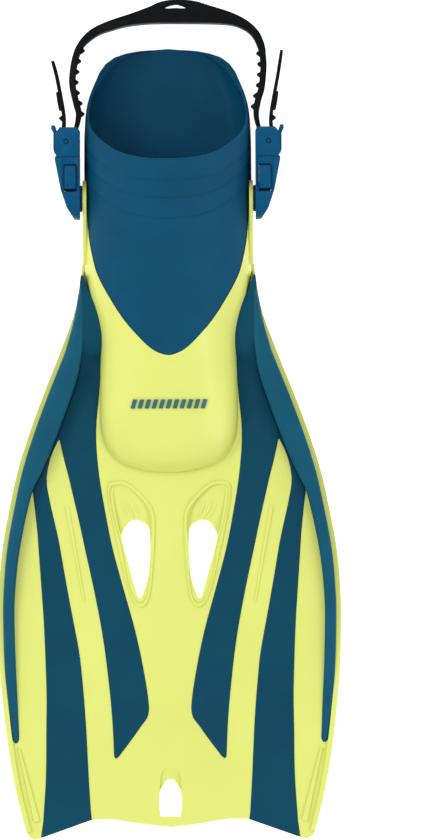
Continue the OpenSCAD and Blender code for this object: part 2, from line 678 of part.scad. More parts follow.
// The strap's two faces in plan, from the right roller round the heel to the left one. The right side
// stands a little fuller than the left, as on a strap that has taken a set.
strap_inner = line([[strap_run_x - strap_thin / 2, roller_y], [strap_run_x - 2.1, roller_y + 4.5],
    [strap_run_x - 4.3, plug_end_y], [strap_run_x - 6, plug_end_y + 6], [strap_run_x - 6.4, plug_end_y + 12],
    [strap_run_x - 5.2, plug_end_y + 19], [strap_run_x - 3, side_bend_y - 12], [strap_run_x - 1.9, side_bend_y - 2],
    [strap_run_x - 1.9, side_bend_y + 6], [strap_run_x - 3.4, side_bend_y + 14], [strap_run_x - 8, side_bend_y + 22.5],
    [strap_run_x - 17, pad_y - 4.5], [strap_run_x - 30, pad_y - 2.5], [8, pad_y - 2], [-12, pad_y - 2.2],
    [37 - strap_run_x, pad_y - 3.8], [27 - strap_run_x, pad_y - 6.5], [17.5 - strap_run_x, pad_y - 10],
    [8.6 - strap_run_x, side_bend_y + 15.5], [5 - strap_run_x, side_bend_y + 8], [3 - strap_run_x, side_bend_y - 2.5],
    [2.8 - strap_run_x, side_bend_y - 11], [4.8 - strap_run_x, plug_end_y + 18],
    [6.4 - strap_run_x, plug_end_y + 11], [6 - strap_run_x, plug_end_y + 6], [4.3 - strap_run_x, plug_end_y],
    [2.1 - strap_run_x, roller_y + 4.5], [strap_thin / 2 - strap_run_x, roller_y]]);
lobe_line = line([[strap_run_x + 1.6, side_bend_y + 2], [strap_run_x + 2, side_bend_y + 8],
    [strap_run_x + 1.3, side_bend_y + 15.5], [strap_run_x - 2.6, side_bend_y + 24.5], [strap_run_x - 10, crest_y - 14.3],
    [strap_run_x - 20.5, crest_y - 8.8], [strap_run_x - 34, crest_y - 4.4], [crest_x + 12, crest_y - 0.9],
    [crest_x, crest_y], [crest_x - 10, crest_y - 1.6], [crest_x - 17, crest_y - 4.6],
    [40 - strap_run_x, crest_y - 9], [27.5 - strap_run_x, crest_y - 13], [17 - strap_run_x, crest_y - 17.3],
    [10 - strap_run_x, crest_y - 22], [4.2 - strap_run_x, side_bend_y + 17],
    [1 - strap_run_x, side_bend_y + 9], [-0.4 - strap_run_x, side_bend_y + 2]]);
function tail_route(tip_y) = line([[tail_run_x, roller_y], [tail_run_x - 0.2, roller_y + 4],
    [tail_run_x - 1.4, plug_end_y - 1], [tail_run_x - 1.9, plug_end_y + 4], [tail_run_x - 1.4, plug_end_y + 11],
    [tail_run_x + 0.3, plug_end_y + 21], [tail_run_x + 2.8, plug_end_y + 34], [tail_tip_x, tip_y]]);

function heading(p, i) = let (a = p[max(i - 1, 0)], b = p[min(i + 1, len(p) - 1)]) (b - a) / norm(b - a);
function left_of(p, i, by) = let (d = heading(p, i)) p[i] + by * [-d[1], d[0]];
// Thickness at point i of n: thin at the rollers, full round the heel.
function band_t(i, n) = strap_thin + (strap_t - strap_thin) * min(1, max(0, (min(i, n - 1 - i) - 8) / 14));

module band(z0, z1) {
    n = len(strap_inner);
    outer = [for (i = [0:n - 1]) left_of(strap_inner, i, -band_t(i, n))];
    translate([0, 0, z0]) linear_extrude(z1 - z0) polygon(concat(outer, flip(strap_inner)));
}

module tail(z0, z1, tip_y) {
    route = tail_route(tip_y);
    n = len(route);
    outer = [for (i = [0:n - 1]) left_of(route, i, -strap_thin / 2 * (1 - 0.2 * max(0, i - n + 3) / 3))];
    inner = [for (i = [0:n - 1]) left_of(route, i, strap_thin / 2 * (1 - 0.2 * max(0, i - n + 3) / 3))];
    translate([0, 0, z0]) linear_extrude(z1 - z0) polygon(concat(outer, flip(inner)));
}

module wrap(z0, z1) {
    arc = [for (a = [180:10:360]) a];
    translate([roller_x, roller_y, z0]) linear_extrude(z1 - z0) polygon(concat(
        [[-wrap_out, EPS]], [for (a = arc) wrap_out * [cos(a), sin(a)]], [[wrap_out, EPS]],
        [[wrap_in, EPS]], [for (a = flip(arc)) wrap_in * [cos(a), sin(a)]], [[-wrap_in, EPS]]));
}

// A ratchet tooth with its foot on the line x, at the place y, pointing along dir.
module tooth(x, y, dir, w) {
    translate([0, 0, swivel_z - w / 2]) linear_extrude(w)
        polygon([[x - dir * 0.8, y - 2.8], [x + dir * tooth_h, y - 0.7], [x + dir * tooth_h, y + 0.1],
            [x - dir * 0.8, y + 2]]);
}

// The inner face on one side (1 right, -1 left) and the middle of the tail, at the place y.
function inner_x(y, side) = lookup(y, [for (q = strap_inner) if (side * q[0] > strap_run_x - 9) [q[1], q[0]]]);
function tail_x(y) = lookup(y, [for (q = tail_route(tail_tip_y)) [q[1], q[0]]]);

module strap_teeth() {
    for (y = [plug_end_y + 14:tooth_pitch:side_bend_y + 13])
        tooth(inner_x(y, 1), y, -1, 0.68 * strap_w);
    for (y = [plug_end_y + 9.5:tooth_pitch:side_bend_y + 13])
        tooth(inner_x(y, -1), y, 1, 0.68 * strap_w);
}

// A tooth and the stop block on the outer face of the tail.
module tail_stop() {
    y0 = plug_end_y + 17.5;
    x = tail_x(y0);
    tooth(tail_x(plug_end_y + 6.5) + strap_thin / 2, plug_end_y + 6.5, 1, 0.68 * strap_w);
    translate([0, 0, swivel_z - strap_w / 2]) linear_extrude(strap_w)
        polygon([[x - 1.5, y0 - 6], [x + 1.7, y0 - 6], [x + 2.7, y0 - 1], [x + 3.6, y0 + 5.6], [x + 1, y0 + 6.6]]);
}

// The pull loop behind the heel, with its slot for a finger.
module pull_lobe() {
    y0 = crest_y - 4.6;
    translate([0, 0, swivel_z - lobe_h / 2]) linear_extrude(lobe_h) difference() {
        polygon(concat(lobe_line, [for (i = [len(strap_inner) - 1:-1:0])
            if (strap_inner[i][1] > side_bend_y + 2) left_of(strap_inner, i, -1.5)]));
        polygon(ring([[crest_x + 0.5, y0 + 1.5], [crest_x + 5, y0 + 0.3], [crest_x + 7.5, y0 - 0.9],
            [crest_x + 5, y0 - 1.3], [crest_x, y0 - 1.1], [crest_x - 5, y0 - 1.3], [crest_x - 7.5, y0 - 0.9],
            [crest_x - 4.5, y0 + 0.5]], 3));
    }
}

module pad_shape() {
    half = [[26, pad_w / 2], [46, strap_w / 2], [tail_tip_x + 5, strap_w / 2]];
    points = [for (q = half) [q[0], swivel_z + q[1]]];
    lower = [for (q = half) [q[0], swivel_z - q[1]]];
    all = concat(flip(mirrored(points)), points, flip(lower), mirrored(lower));
    translate([0, crest_y + 20, 0]) rotate([90, 0, 0]) linear_extrude(180) polygon(all);
}

module heel_strap() {
    z0 = swivel_z - pad_w / 2;
    z1 = swivel_z + pad_w / 2;
    color(BLACK) union() {
        intersection() {
            union() {
                band(z0, z1);
                both_sides() wrap(z0, z1);
                tail(z0, z1, tail_tip_y + 6.6);
                mirror([1, 0, 0]) tail(z0, z1, tail_tip_y);
            }
            pad_shape();
        }
        strap_teeth();
        both_sides() tail_stop();
        pull_lobe();
    }
}

blade();
toe_frame();
foot_pocket();
foot_plate();
mirror([1, 0, 0]) side_arm();  // left_side_arm
side_arm();  // right_side_arm
mirror([1, 0, 0]) rail();  // left_rail
rail();  // right_rail
mirror([1, 0, 0]) blade_inlay();  // left_blade_inlay
blade_inlay();  // right_blade_inlay
heel_strap();
mirror([1, 0, 0]) buckle_socket();  // left_buckle_socket
buckle_socket();  // right_buckle_socket
mirror([1, 0, 0]) buckle_plug();  // left_buckle_plug
buckle_plug();  // right_buckle_plug
mirror([1, 0, 0]) ratchet_lever();  // left_ratchet_lever
ratchet_lever();  // right_ratchet_lever
mirror([1, 0, 0]) lever_pin();  // left_lever_pin
lever_pin();  // right_lever_pin
mirror([1, 0, 0]) lever_spring();  // left_lever_spring
lever_spring();  // right_lever_spring
mirror([1, 0, 0]) strap_roller();  // left_strap_roller
strap_roller();  // right_strap_roller
mirror([1, 0, 0]) roller_pin();  // left_roller_pin
roller_pin();  // right_roller_pin
mirror([1, 0, 0]) release_tab();  // left_upper_release_tab
mirror_z(1) mirror([1, 0, 0]) release_tab();  // left_lower_release_tab
release_tab();  // right_upper_release_tab
mirror_z(1) release_tab();  // right_lower_release_tab
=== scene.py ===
"""Open-heel swim fin: a yellow moulded blade, a soft blue foot pocket and a swivelling heel strap.

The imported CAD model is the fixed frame. Every piece here rides on one of its bodies. Lengths in the
script are millimetres and turn to metres where a mesh is made.
"""

import json
import logging
import math
from dataclasses import dataclass, field
from enum import Enum
from typing import Any, Callable, Iterable, Sequence

import bpy
import numpy as np
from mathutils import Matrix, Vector

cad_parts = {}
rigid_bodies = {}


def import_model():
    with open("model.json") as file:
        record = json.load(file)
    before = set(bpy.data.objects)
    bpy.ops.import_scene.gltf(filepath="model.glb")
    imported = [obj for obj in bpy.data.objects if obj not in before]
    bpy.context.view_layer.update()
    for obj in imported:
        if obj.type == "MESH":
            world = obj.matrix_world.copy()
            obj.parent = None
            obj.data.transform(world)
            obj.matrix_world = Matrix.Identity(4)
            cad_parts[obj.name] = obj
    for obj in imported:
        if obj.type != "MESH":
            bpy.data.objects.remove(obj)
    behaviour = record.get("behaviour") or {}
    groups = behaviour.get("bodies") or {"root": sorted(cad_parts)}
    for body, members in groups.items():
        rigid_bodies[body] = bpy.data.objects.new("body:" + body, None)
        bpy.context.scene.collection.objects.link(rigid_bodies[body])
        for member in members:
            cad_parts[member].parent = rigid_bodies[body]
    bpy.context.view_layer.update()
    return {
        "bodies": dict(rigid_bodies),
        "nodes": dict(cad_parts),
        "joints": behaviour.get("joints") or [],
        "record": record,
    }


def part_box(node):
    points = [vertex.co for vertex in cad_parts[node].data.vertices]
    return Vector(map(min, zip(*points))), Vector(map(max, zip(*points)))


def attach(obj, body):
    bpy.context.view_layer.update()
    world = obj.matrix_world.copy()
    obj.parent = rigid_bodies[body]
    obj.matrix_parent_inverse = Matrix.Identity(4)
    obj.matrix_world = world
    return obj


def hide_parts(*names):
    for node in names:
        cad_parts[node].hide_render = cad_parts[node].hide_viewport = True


LOG = logging.getLogger("swim_fin")
MM = 0.001
IMAGE_SIZE = (435, 840)
Knots = Sequence[tuple[float, float]]
Point = tuple[float, float, float]


# ---------------------------------------------------------------- curves

def smooth(knots: Knots, at: float) -> float:
    """Reads a value off a smooth curve through given knots.

    Args:
        knots: Places and values, in rising order of place.
        at: The place to read.

    Returns:
        The value there, from a cubic through the neighbouring knots.
    """
    last = len(knots) - 1
    i = 0
    while i < last - 1 and at >= knots[i + 1][0]:
        i += 1

    def slope(k: int) -> float:
        """Slope of the curve at knot k."""
        a, b = knots[max(k - 1, 0)], knots[min(k + 1, last)]
        return (b[1] - a[1]) / (b[0] - a[0])

    h = knots[i + 1][0] - knots[i][0]
    t = (at - knots[i][0]) / h
    return ((2 * t**3 - 3 * t**2 + 1) * knots[i][1] + (t**3 - 2 * t**2 + t) * h * slope(i)
            + (3 * t**2 - 2 * t**3) * knots[i + 1][1] + (t**3 - t**2) * h * slope(i + 1))


def steady(knots: Knots, at: float) -> float:
    """Reads a value off straight lines between knots."""
    return float(np.interp(at, [k[0] for k in knots], [k[1] for k in knots]))


def smoothstep(low: float, high: float, at: float) -> float:
    """Rises softly from 0 at low to 1 at high."""
    t = min(1.0, max(0.0, (at - low) / (high - low)))
    return t * t * (3 - 2 * t)


def spread(low: float, high: float, count: int) -> list[float]:
    """Gives count + 1 even places from low to high."""
    return [low + (high - low) * i / count for i in range(count + 1)]


def spline(points: Sequence[Sequence[float]], steps: int, closed: bool = False) -> list[Vector]:
    """Draws a smooth line through given points.

    Args:
        points: The points, in two or three dimensions.
        steps: Stretches between two neighbouring points.
        closed: Whether the line returns to its first point.

    Returns:
        The points of the line; a closed line doesn't repeat its first point.
    """
    own = [Vector(p) for p in points]
    count = len(own)
    if not closed:
        own = [2 * own[0] - own[1], *own, 2 * own[-1] - own[-2]]
    line = []
    for i in range(count if closed else count - 1):
        if closed:
            a, b, c, d = (own[(i + k) % count] for k in (-1, 0, 1, 2))
        else:
            a, b, c, d = own[i:i + 4]
        for k in range(steps):
            t = k / steps
            line.append(0.5 * (2 * b + (c - a) * t + (2 * a - 5 * b + 4 * c - d) * t * t
                               + (3 * b - a - 3 * c + d) * t**3))
    if not closed:
        line.append(own[-2].copy())
    return line


# ---------------------------------------------------------------- places in the frame

EDGE: Knots = ((0, 0), (0.067, 0.034), (0.132, 0.11), (0.198, 0.274), (0.264, 0.457), (0.33, 0.628),
               (0.395, 0.771), (0.461, 0.873), (0.527, 0.954), (0.592, 0.993), (0.64, 1),
               (0.724, 0.983), (0.789, 0.942), (0.855, 0.885), (0.921, 0.805), (1, 0.67))
INNER_IN: Knots = ((0.04, 0.93), (0.1, 0.915), (0.132, 0.806), (0.165, 0.686), (0.2, 0.625),
                   (0.264, 0.561), (0.33, 0.525), (0.395, 0.466), (0.46, 0.402), (0.527, 0.336),
                   (0.592, 0.267), (0.658, 0.202), (0.724, 0.154), (0.781, 0.127), (0.8, 0.137),
                   (0.814, 0.175), (0.838, 0.241), (0.865, 0.322))
INNER_OUT: Knots = ((0.345, 0.77), (0.379, 0.705), (0.412, 0.647), (0.477, 0.558), (0.543, 0.486),
                    (0.609, 0.429), (0.675, 0.388), (0.74, 0.363), (0.806, 0.35), (0.865, 0.35))
OUTER_IN: Knots = ((0.33, 0.765), (0.345, 0.777), (0.36, 0.793), (0.38, 0.803), (0.412, 0.796),
                   (0.444, 0.755),
                   (0.51, 0.667), (0.576, 0.609), (0.642, 0.562), (0.707, 0.525), (0.806, 0.511),
                   (0.905, 0.521), (1, 0.545))
OUTER_OUT: Knots = ((0.43, 0.872), (0.461, 0.837), (0.51, 0.792), (0.576, 0.756), (0.642, 0.735),
                    (0.739, 0.731), (0.806, 0.749), (0.905, 0.798), (1, 0.9))
RAIL_IN: Knots = ((0.05, 0.985), (0.1, 0.955), (0.132, 0.915), (0.165, 0.86), (0.19, 0.812),
                  (0.239, 0.769), (0.297, 0.779), (0.345, 0.8), (0.395, 0.837), (0.43, 0.874),
                  (0.51, 0.892), (0.609, 0.904), (0.74, 0.906), (0.831, 0.924), (0.85, 0.935))
CLIMB: Knots = ((0.07, 57.2), (0.078, 56.4), (0.098, 53.2), (0.119, 49.4), (0.148, 45.8),
                (0.169, 44.2), (0.185, 43.9), (0.205, 44.2), (0.237, 45.4))
LIP: Knots = ((0, 0), (0.12, 0), (0.2, 1), (1, 1))
RAIL_RISE: Knots = ((0.05, 1.15), (0.16, 0.95), (0.31, 0.8), (0.56, 0.52), (0.8, 0.16), (0.86, 0.06))
TRUNK_RISE: Knots = ((0.05, 1.3), (0.1, 0.95), (0.16, 0.46), (0.21, 0.17), (0.262, 0))
TIP: Knots = ((0, 8), (0.21, 10.4), (0.4, 13.4), (0.55, 13.3), (0.89, 1.3))
STATIONS: tuple[tuple[float, float, float], ...] = (
    (0, 0.11, 0.21), (0.005, 0.3, 0.25), (0.014, 0.45, 0.3), (0.03, 0.6, 0.36),
    (0.051, 0.7, 0.405), (0.08, 0.775, 0.445), (0.115, 0.81, 0.48), (0.164, 0.818, 0.52),
    (0.235, 0.812, 0.57), (0.306, 0.803, 0.62), (0.348, 0.825, 0.655), (0.383, 0.88, 0.68),
    (0.419, 0.935, 0.71), (0.454, 0.972, 0.74), (0.496, 0.99, 0.77), (0.553, 1, 0.82),
    (0.641, 1, 0.9), (0.73, 1, 1), (0.8, 0.995, 1.08), (0.853, 0.975, 1.1), (0.889, 0.935, 1.1),
    (0.917, 0.88, 1.1), (0.952, 0.8, 1.1), (0.975, 0.7, 1.1), (0.989, 0.56, 1.1),
    (0.9975, 0.36, 1.1), (1, 0.18, 1.1))
RIM: Knots = ((0.7, 1.25), (0.722, 1.06), (0.747, 0.94), (0.775, 0.83), (0.803, 0.67),
              (0.832, 0.49), (0.87, 0.33), (0.92, 0.2), (0.97, 0.11), (1.02, 0.05))
TONGUE: Knots = ((0, 0.281), (0.124, 0.2875), (0.22, 0.299), (0.32, 0.317), (0.49, 0.354),
                 (0.6, 0.384), (0.685, 0.411), (0.775, 0.442), (0.855, 0.476), (0.907, 0.516),
                 (0.937, 0.548), (0.955, 0.582), (0.965, 0.61), (0.972, 0.638))
SCOOP: tuple[tuple[float, float], ...] = (
    (23, -12), (28.5, -7.8), (35, -7.3), (37.4, -11.5), (36.3, -21), (34.2, -32), (32.6, -38.5),
    (30.2, -38.5), (27, -33.5), (23.8, -31.6), (18.8, -32.2), (14.6, -36), (13.2, -39), (12.1, -37),
    (12.5, -31.5), (13.8, -24.6), (17.6, -17.4))


@dataclass(frozen=True)
class FinFrame:
    """Main places of the fin in millimetres, read from the CAD nodes."""

    tip_y: float
    heel_y: float
    toe_y: float
    blade_half: float
    pocket_half: float
    instep: float
    plate_top: float
    channel_floor: float
    rail_h: float = 16.0
    lip_w: float = 3.3
    neck_share: float = 0.578
    corner_v: float = 0.987

    @classmethod
    def read(cls) -> "FinFrame":
        """Reads the places from the boxes of the CAD nodes."""
        blade_low, blade_high = (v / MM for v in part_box("blade"))
        pocket_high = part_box("foot_pocket")[1] / MM
        return cls(tip_y=blade_low.y, heel_y=pocket_high.y, toe_y=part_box("toe_frame")[0].y / MM,
                   blade_half=blade_high.x, pocket_half=pocket_high.x, instep=80.0,
                   plate_top=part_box("left_rail")[0].z / MM,
                   channel_floor=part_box("left_blade_inlay")[0].z / MM)

    @property
    def pocket_length(self) -> float:
        """Length of the foot pocket."""
        return self.heel_y - self.toe_y

    @property
    def neck_y(self) -> float:
        """Where the blade starts to leave the foot pocket."""
        return self.toe_y + self.neck_share * self.pocket_length

    def blade_y(self, v: float) -> float:
        """Place along the fin at share v of the blade's run."""
        return self.neck_y - v * (self.neck_y - self.tip_y)

    def edge_x(self, v: float) -> float:
        """Half-width of the blade at share v of its run."""
        return self.pocket_half + (self.blade_half - self.pocket_half) * smooth(EDGE, v)

    def border(self, knots: Knots, v: float) -> tuple[float, float]:
        """Point of a border of the soft channels at share v of the run."""
        return self.edge_x(v) * smooth(knots, v), self.blade_y(v)

    def lip_x(self, v: float) -> float:
        """Inner side of the hard lip at share v of the run."""
        return self.edge_x(v) - self.lip_w * steady(LIP, v)

    def tip_y_at(self, x: float) -> float:
        """Edge of the tip at a distance x from the middle."""
        return self.tip_y + steady(TIP, x / self.edge_x(self.corner_v))


# ---------------------------------------------------------------- finishes

def linear(code: str) -> tuple[float, float, float, float]:
    """Turns an sRGB hex colour into the linear values that a shader takes."""
    values = [int(code[i:i + 2], 16) / 255 for i in (1, 3, 5)]
    return (*[v / 12.92 if v <= 0.04045 else ((v + 0.055) / 1.055)**2.4 for v in values], 1.0)


class Recipe:
    """A node material while it is being put together."""

    def __init__(self, name: str) -> None:
        """Starts a material with only its output and its principled shader."""
        self.material = bpy.data.materials.new(name)
        self.material.use_nodes = True
        self.tree = self.material.node_tree
        self.tree.nodes.clear()
        self.output = self.add("ShaderNodeOutputMaterial")
        self.shader = self.add("ShaderNodeBsdfPrincipled")
        self.link(self.shader.outputs["BSDF"], self.output.inputs["Surface"])
        self.place = self.add("ShaderNodeTexCoord").outputs["Object"]

    def add(self, kind: str, settings: dict[str, Any] | None = None,
            links: dict[str | int, Any] | None = None) -> bpy.types.Node:
        """Adds a node.

        Args:
            kind: Blender's name of the node type.
            settings: Values of the node's own properties, or of its inputs.
            links: Output sockets to join to the node's inputs.

        Returns:
            The new node.
        """
        made = self.tree.nodes.new(kind)
        for key, value in (settings or {}).items():
            if isinstance(key, str) and hasattr(made, key):
                setattr(made, key, value)
            else:
                made.inputs[key].default_value = value
        for key, socket in (links or {}).items():
            self.link(socket, made.inputs[key])
        return made

    def link(self, source: Any, target: Any) -> None:
        """Joins an output socket to an input socket."""
        self.tree.links.new(source, target)

    def noise(self, size_mm: float, detail: float = 3.0, rough: float = 0.5) -> Any:
        """Noise whose patches are about size_mm across."""
        return self.add("ShaderNodeTexNoise",
                        {"Scale": 1000.0 / size_mm, "Detail": detail, "Roughness": rough},
                        {"Vector": self.place}).outputs["Fac"]

    def ranged(self, value: Any, low: float, high: float, start: float = 0.3, end: float = 0.7) -> Any:
        """Maps a value from start..end to low..high."""
        return self.add("ShaderNodeMapRange",
                        {"From Min": start, "From Max": end, "To Min": low, "To Max": high},
                        {"Value": value}).outputs["Result"]

    def blend(self, share: Any, first: str, second: str) -> Any:
        """Mixes two hex colours."""
        made = self.add("ShaderNodeMix", {"data_type": "RGBA"})
        sockets = [s for s in made.inputs if s.type == "RGBA"]
        sockets[0].default_value = linear(first)
        sockets[1].default_value = linear(second)
        self.link(share, made.inputs["Factor"])
        return next(s for s in made.outputs if s.type == "RGBA")

    def bump(self, height: Any, depth_mm: float, before: Any = None) -> Any:
        """Bump of a real depth; returns the normal."""
        links = {"Height": height}
        if before is not None:
            links["Normal"] = before
        return self.add("ShaderNodeBump", {"Strength": 1.0, "Distance": depth_mm * MM},
                        links).outputs["Normal"]

    def set(self, **sockets: float) -> None:
        """Sets constant values on the shader's own sockets, with _ for a space."""
        for key, value in sockets.items():
            self.shader.inputs[key.replace("_", " ")].default_value = value

    def drive(self, **sockets: Any) -> None:
        """Joins sockets of the shader to outputs, with _ for a space."""
        for key, value in sockets.items():
            self.link(value, self.shader.inputs[key.replace("_", " ")])


@dataclass(frozen=True)
class MouldedPlastic:
    """Injection-moulded thermoplastic: an even colour with a spark-eroded satin grain."""

    name: str
    colour: str
    shade: str
    roughness: float = 0.34
    grain_mm: float = 0.9
    grain_depth_mm: float = 0.012
    cloud_mm: float = 60.0
    specular: float = 0.4
    glow: float = 0.0

    def make(self) -> bpy.types.Material:
        """Builds the material."""
        r = Recipe(self.name)
        cloud = r.noise(self.cloud_mm, 2.0)
        r.drive(Base_Color=r.blend(r.ranged(cloud, 0.0, 1.0), self.colour, self.shade))
        # The grain of the tool is a few hundredths of a millimetre; it is drawn coarser, so it shows.
        grain = r.noise(self.grain_mm, 4.0, 0.6)
        r.drive(Normal=r.bump(grain, self.grain_depth_mm))
        r.drive(Roughness=r.ranged(r.noise(8.0), self.roughness - 0.04, self.roughness + 0.05))
        r.set(IOR=1.49, Specular_IOR_Level=self.specular)
        if self.glow:
            r.set(Subsurface_Weight=self.glow, Subsurface_Scale=0.002)
        return r.material


@dataclass(frozen=True)
class SoftRubber:
    """Moulded thermoplastic rubber: matt, with a faint bloom and flow marks."""

    name: str
    colour: str
    shade: str
    roughness: float = 0.55
    grain_mm: float = 1.1
    grain_depth_mm: float = 0.02
    specular: float = 0.08

    def make(self) -> bpy.types.Material:
        """Builds the material."""
        r = Recipe(self.name)
        flow = r.noise(35.0, 3.0)
        r.drive(Base_Color=r.blend(r.ranged(flow, 0.0, 1.0), self.colour, self.shade))
        # Tool grain of about 0.1 mm, drawn coarser so that it shows.
        r.drive(Normal=r.bump(r.noise(self.grain_mm, 5.0, 0.65), self.grain_depth_mm))
        r.drive(Roughness=r.ranged(r.noise(14.0), self.roughness - 0.06, self.roughness + 0.06))
        r.set(IOR=1.51, Specular_IOR_Level=self.specular)
        return r.material


@dataclass(frozen=True)
class DrawnSteel:
    """Drawn stainless steel wire and tube: fine lines along the piece."""

    name: str
    colour: str = "#b4b7ba"
    roughness: float = 0.3

    def make(self) -> bpy.types.Material:
        """Builds the material."""
        r = Recipe(self.name)
        stretched = r.add("ShaderNodeMapping", {"Scale": (1.0, 1.0, 0.04)}, {"Vector": r.place})
        # Draw lines 0.15 mm apart round the wire.
        lines = r.add("ShaderNodeTexNoise", {"Scale": 1000.0 / 0.15, "Detail": 2.0},
                      {"Vector": stretched.outputs["Vector"]}).outputs["Fac"]
        r.drive(Roughness=r.ranged(lines, self.roughness - 0.08, self.roughness + 0.1))
        r.drive(Normal=r.bump(lines, 0.003))
        r.set(Metallic=1.0)
        r.shader.inputs["Base Color"].default_value = linear(self.colour)
        return r.material


@dataclass(frozen=True)
class PadPrint:
    """Pad-printed ink: thin, matt and a little uneven where it lies on the grain."""

    name: str
    colour: str
    shade: str

    def make(self) -> bpy.types.Material:
        """Builds the material."""
        r = Recipe(self.name)
        r.drive(Base_Color=r.blend(r.ranged(r.noise(3.0, 4.0), 0.0, 1.0), self.colour, self.shade))
        r.drive(Roughness=r.ranged(r.noise(1.5), 0.42, 0.55))
        r.set(IOR=1.5)
        return r.material


class Finish(Enum):
    """The finishes of the fin, each a real material and process; the rail's lighter rubber also carries
    painted light.
    """

    BLADE_PLASTIC = MouldedPlastic("moulded_yellow_polypropylene", "#dbe276", "#d7de70", glow=0.12)
    POCKET_RUBBER = SoftRubber("moulded_navy_rubber", "#084a6a", "#074562")
    CHANNEL_RUBBER = SoftRubber("overmoulded_teal_rubber", "#07455b", "#064055", roughness=0.48)
    # The rail is the same overmoulded rubber as the channels; its lighter colour is painted light for the
    # light that falls on its raised top.
    RAIL_RUBBER_PAINTED_LIGHT = SoftRubber("overmoulded_teal_rail_rubber", "#12546c", "#0f4e66", roughness=0.44)
    STRAP_RUBBER = SoftRubber("moulded_black_rubber", "#060a0e", "#05080b", roughness=0.5)
    BUCKLE_PLASTIC = MouldedPlastic("moulded_blue_acetal", "#004f77", "#004a70", roughness=0.36,
                                    specular=0.1)
    TAB_PLASTIC = MouldedPlastic("moulded_deep_blue_acetal", "#004c74", "#00476c", roughness=0.32,
                                 specular=0.1)
    STEEL = DrawnSteel("drawn_stainless_steel")
    INK = PadPrint("pad_printed_teal_ink", "#1d5a63", "#225f66")


@dataclass
class Palette:
    """Makes each finish once and hands it out."""

    made: dict[Finish, bpy.types.Material] = field(default_factory=dict)

    def get(self, finish: Finish) -> bpy.types.Material:
        """Gives the material of a finish."""
        if finish not in self.made:
            self.made[finish] = finish.value.make()
        return self.made[finish]


SLOT_FINISH = {
    "hard_yellow": Finish.BLADE_PLASTIC, "pocket_rubber": Finish.POCKET_RUBBER,
    "blade_rubber": Finish.CHANNEL_RUBBER, "strap_rubber": Finish.STRAP_RUBBER,
    "buckle_blue": Finish.BUCKLE_PLASTIC, "tab_blue": Finish.TAB_PLASTIC, "pin_steel": Finish.STEEL}


# ---------------------------------------------------------------- making meshes

def deselect_all() -> None:
    """Leaves no object selected."""
    bpy.ops.object.select_all(action="DESELECT")


def make_active(obj: bpy.types.Object) -> None:
    """Selects one object alone and makes it active."""
    deselect_all()
    obj.select_set(True)
    bpy.context.view_layer.objects.active = obj


def mesh_piece(name: str, points: Iterable[Sequence[float]], faces: Sequence[Sequence[int]],
               outward: bool = True) -> bpy.types.Object:
    """Makes an object of points in millimetres.

    Args:
        name: Name of the piece.
        points: Its corners.
        faces: Corner numbers of each face.
        outward: Whether to turn the faces outwards.

    Returns:
        The new object, with its place in its mesh.
    """
    mesh = bpy.data.meshes.new(name)
    mesh.from_pydata([tuple(c * MM for c in p) for p in points], [], [tuple(f) for f in faces])
    mesh.update()
    obj = bpy.data.objects.new(name, mesh)
    bpy.context.scene.collection.objects.link(obj)
    if outward:
        edit(obj, lambda: bpy.ops.mesh.normals_make_consistent(inside=False))
    return obj


def edit(obj: bpy.types.Object, work: Callable[[], Any]) -> None:
    """Runs operators in edit mode with the whole mesh selected."""
    make_active(obj)
    bpy.ops.object.mode_set(mode="EDIT")
    bpy.ops.mesh.select_all(action="SELECT")
    work()
    bpy.ops.object.mode_set(mode="OBJECT")


def modify(obj: bpy.types.Object, kind: str, **settings: Any) -> None:
    """Adds a modifier with its settings and applies it."""
    make_active(obj)
    made = obj.modifiers.new(kind.lower(), kind)
    for key, value in settings.items():
        setattr(made, key, value)
    bpy.ops.object.modifier_apply(modifier=made.name)


def round_edges(obj: bpy.types.Object, width: float, segments: int = 2, angle: float = 35.0) -> None:
    """Rounds the sharp edges of a piece by a bevel of a given width in millimetres."""
    modify(obj, "BEVEL", width=width * MM, segments=segments, limit_method="ANGLE",
           angle_limit=math.radians(angle), use_clamp_overlap=True, miter_outer="MITER_ARC")


def shade(obj: bpy.types.Object, angle: float = 40.0) -> None:
    """Shades a piece smooth, with edges sharper than the angle kept."""
    make_active(obj)
    bpy.ops.object.shade_smooth_by_angle(angle=math.radians(angle))


def loft(name: str, rings: Sequence[Sequence[Sequence[float]]], caps: bool = True) -> bpy.types.Object:
    """Skins closed rings that all have the same number of points.

    Args:
        name: Name of the piece.
        rings: The rings, in order along the piece.
        caps: Whether to close both ends.

    Returns:
        The new object.
    """
    count = len(rings[0])
    points = [p for ring in rings for p in ring]
    faces = [(i * count + k, i * count + (k + 1) % count, (i + 1) * count + (k + 1) % count,
              (i + 1) * count + k) for i in range(len(rings) - 1) for k in range(count)]
    if caps:
        faces.append(tuple(range(count)))
        faces.append(tuple((len(rings) - 1) * count + k for k in reversed(range(count))))
    return mesh_piece(name, points, faces)


def mirrored(obj: bpy.types.Object, name: str) -> bpy.types.Object:
    """Makes the mirror image of a piece on the other side of the middle plane."""
    mesh = obj.data.copy()
    mesh.name = name
    for vertex in mesh.vertices:
        vertex.co.x = -vertex.co.x
    twin = bpy.data.objects.new(name, mesh)
    bpy.context.scene.collection.objects.link(twin)
    edit(twin, lambda: bpy.ops.mesh.flip_normals())
    return twin


def prism(name: str, outline: Sequence[Sequence[float]], low: float, high: float) -> bpy.types.Object:
    """Raises an outline in plan into a closed prism from one height to another."""
    obj = mesh_piece(name, [(p[0], p[1], low) for p in outline], [range(len(outline))])
    edit(obj, lambda: bpy.ops.mesh.extrude_region_move(
        TRANSFORM_OT_translate={"value": (0, 0, (high - low) * MM)}))
    edit(obj, lambda: bpy.ops.mesh.normals_make_consistent(inside=False))
    return obj


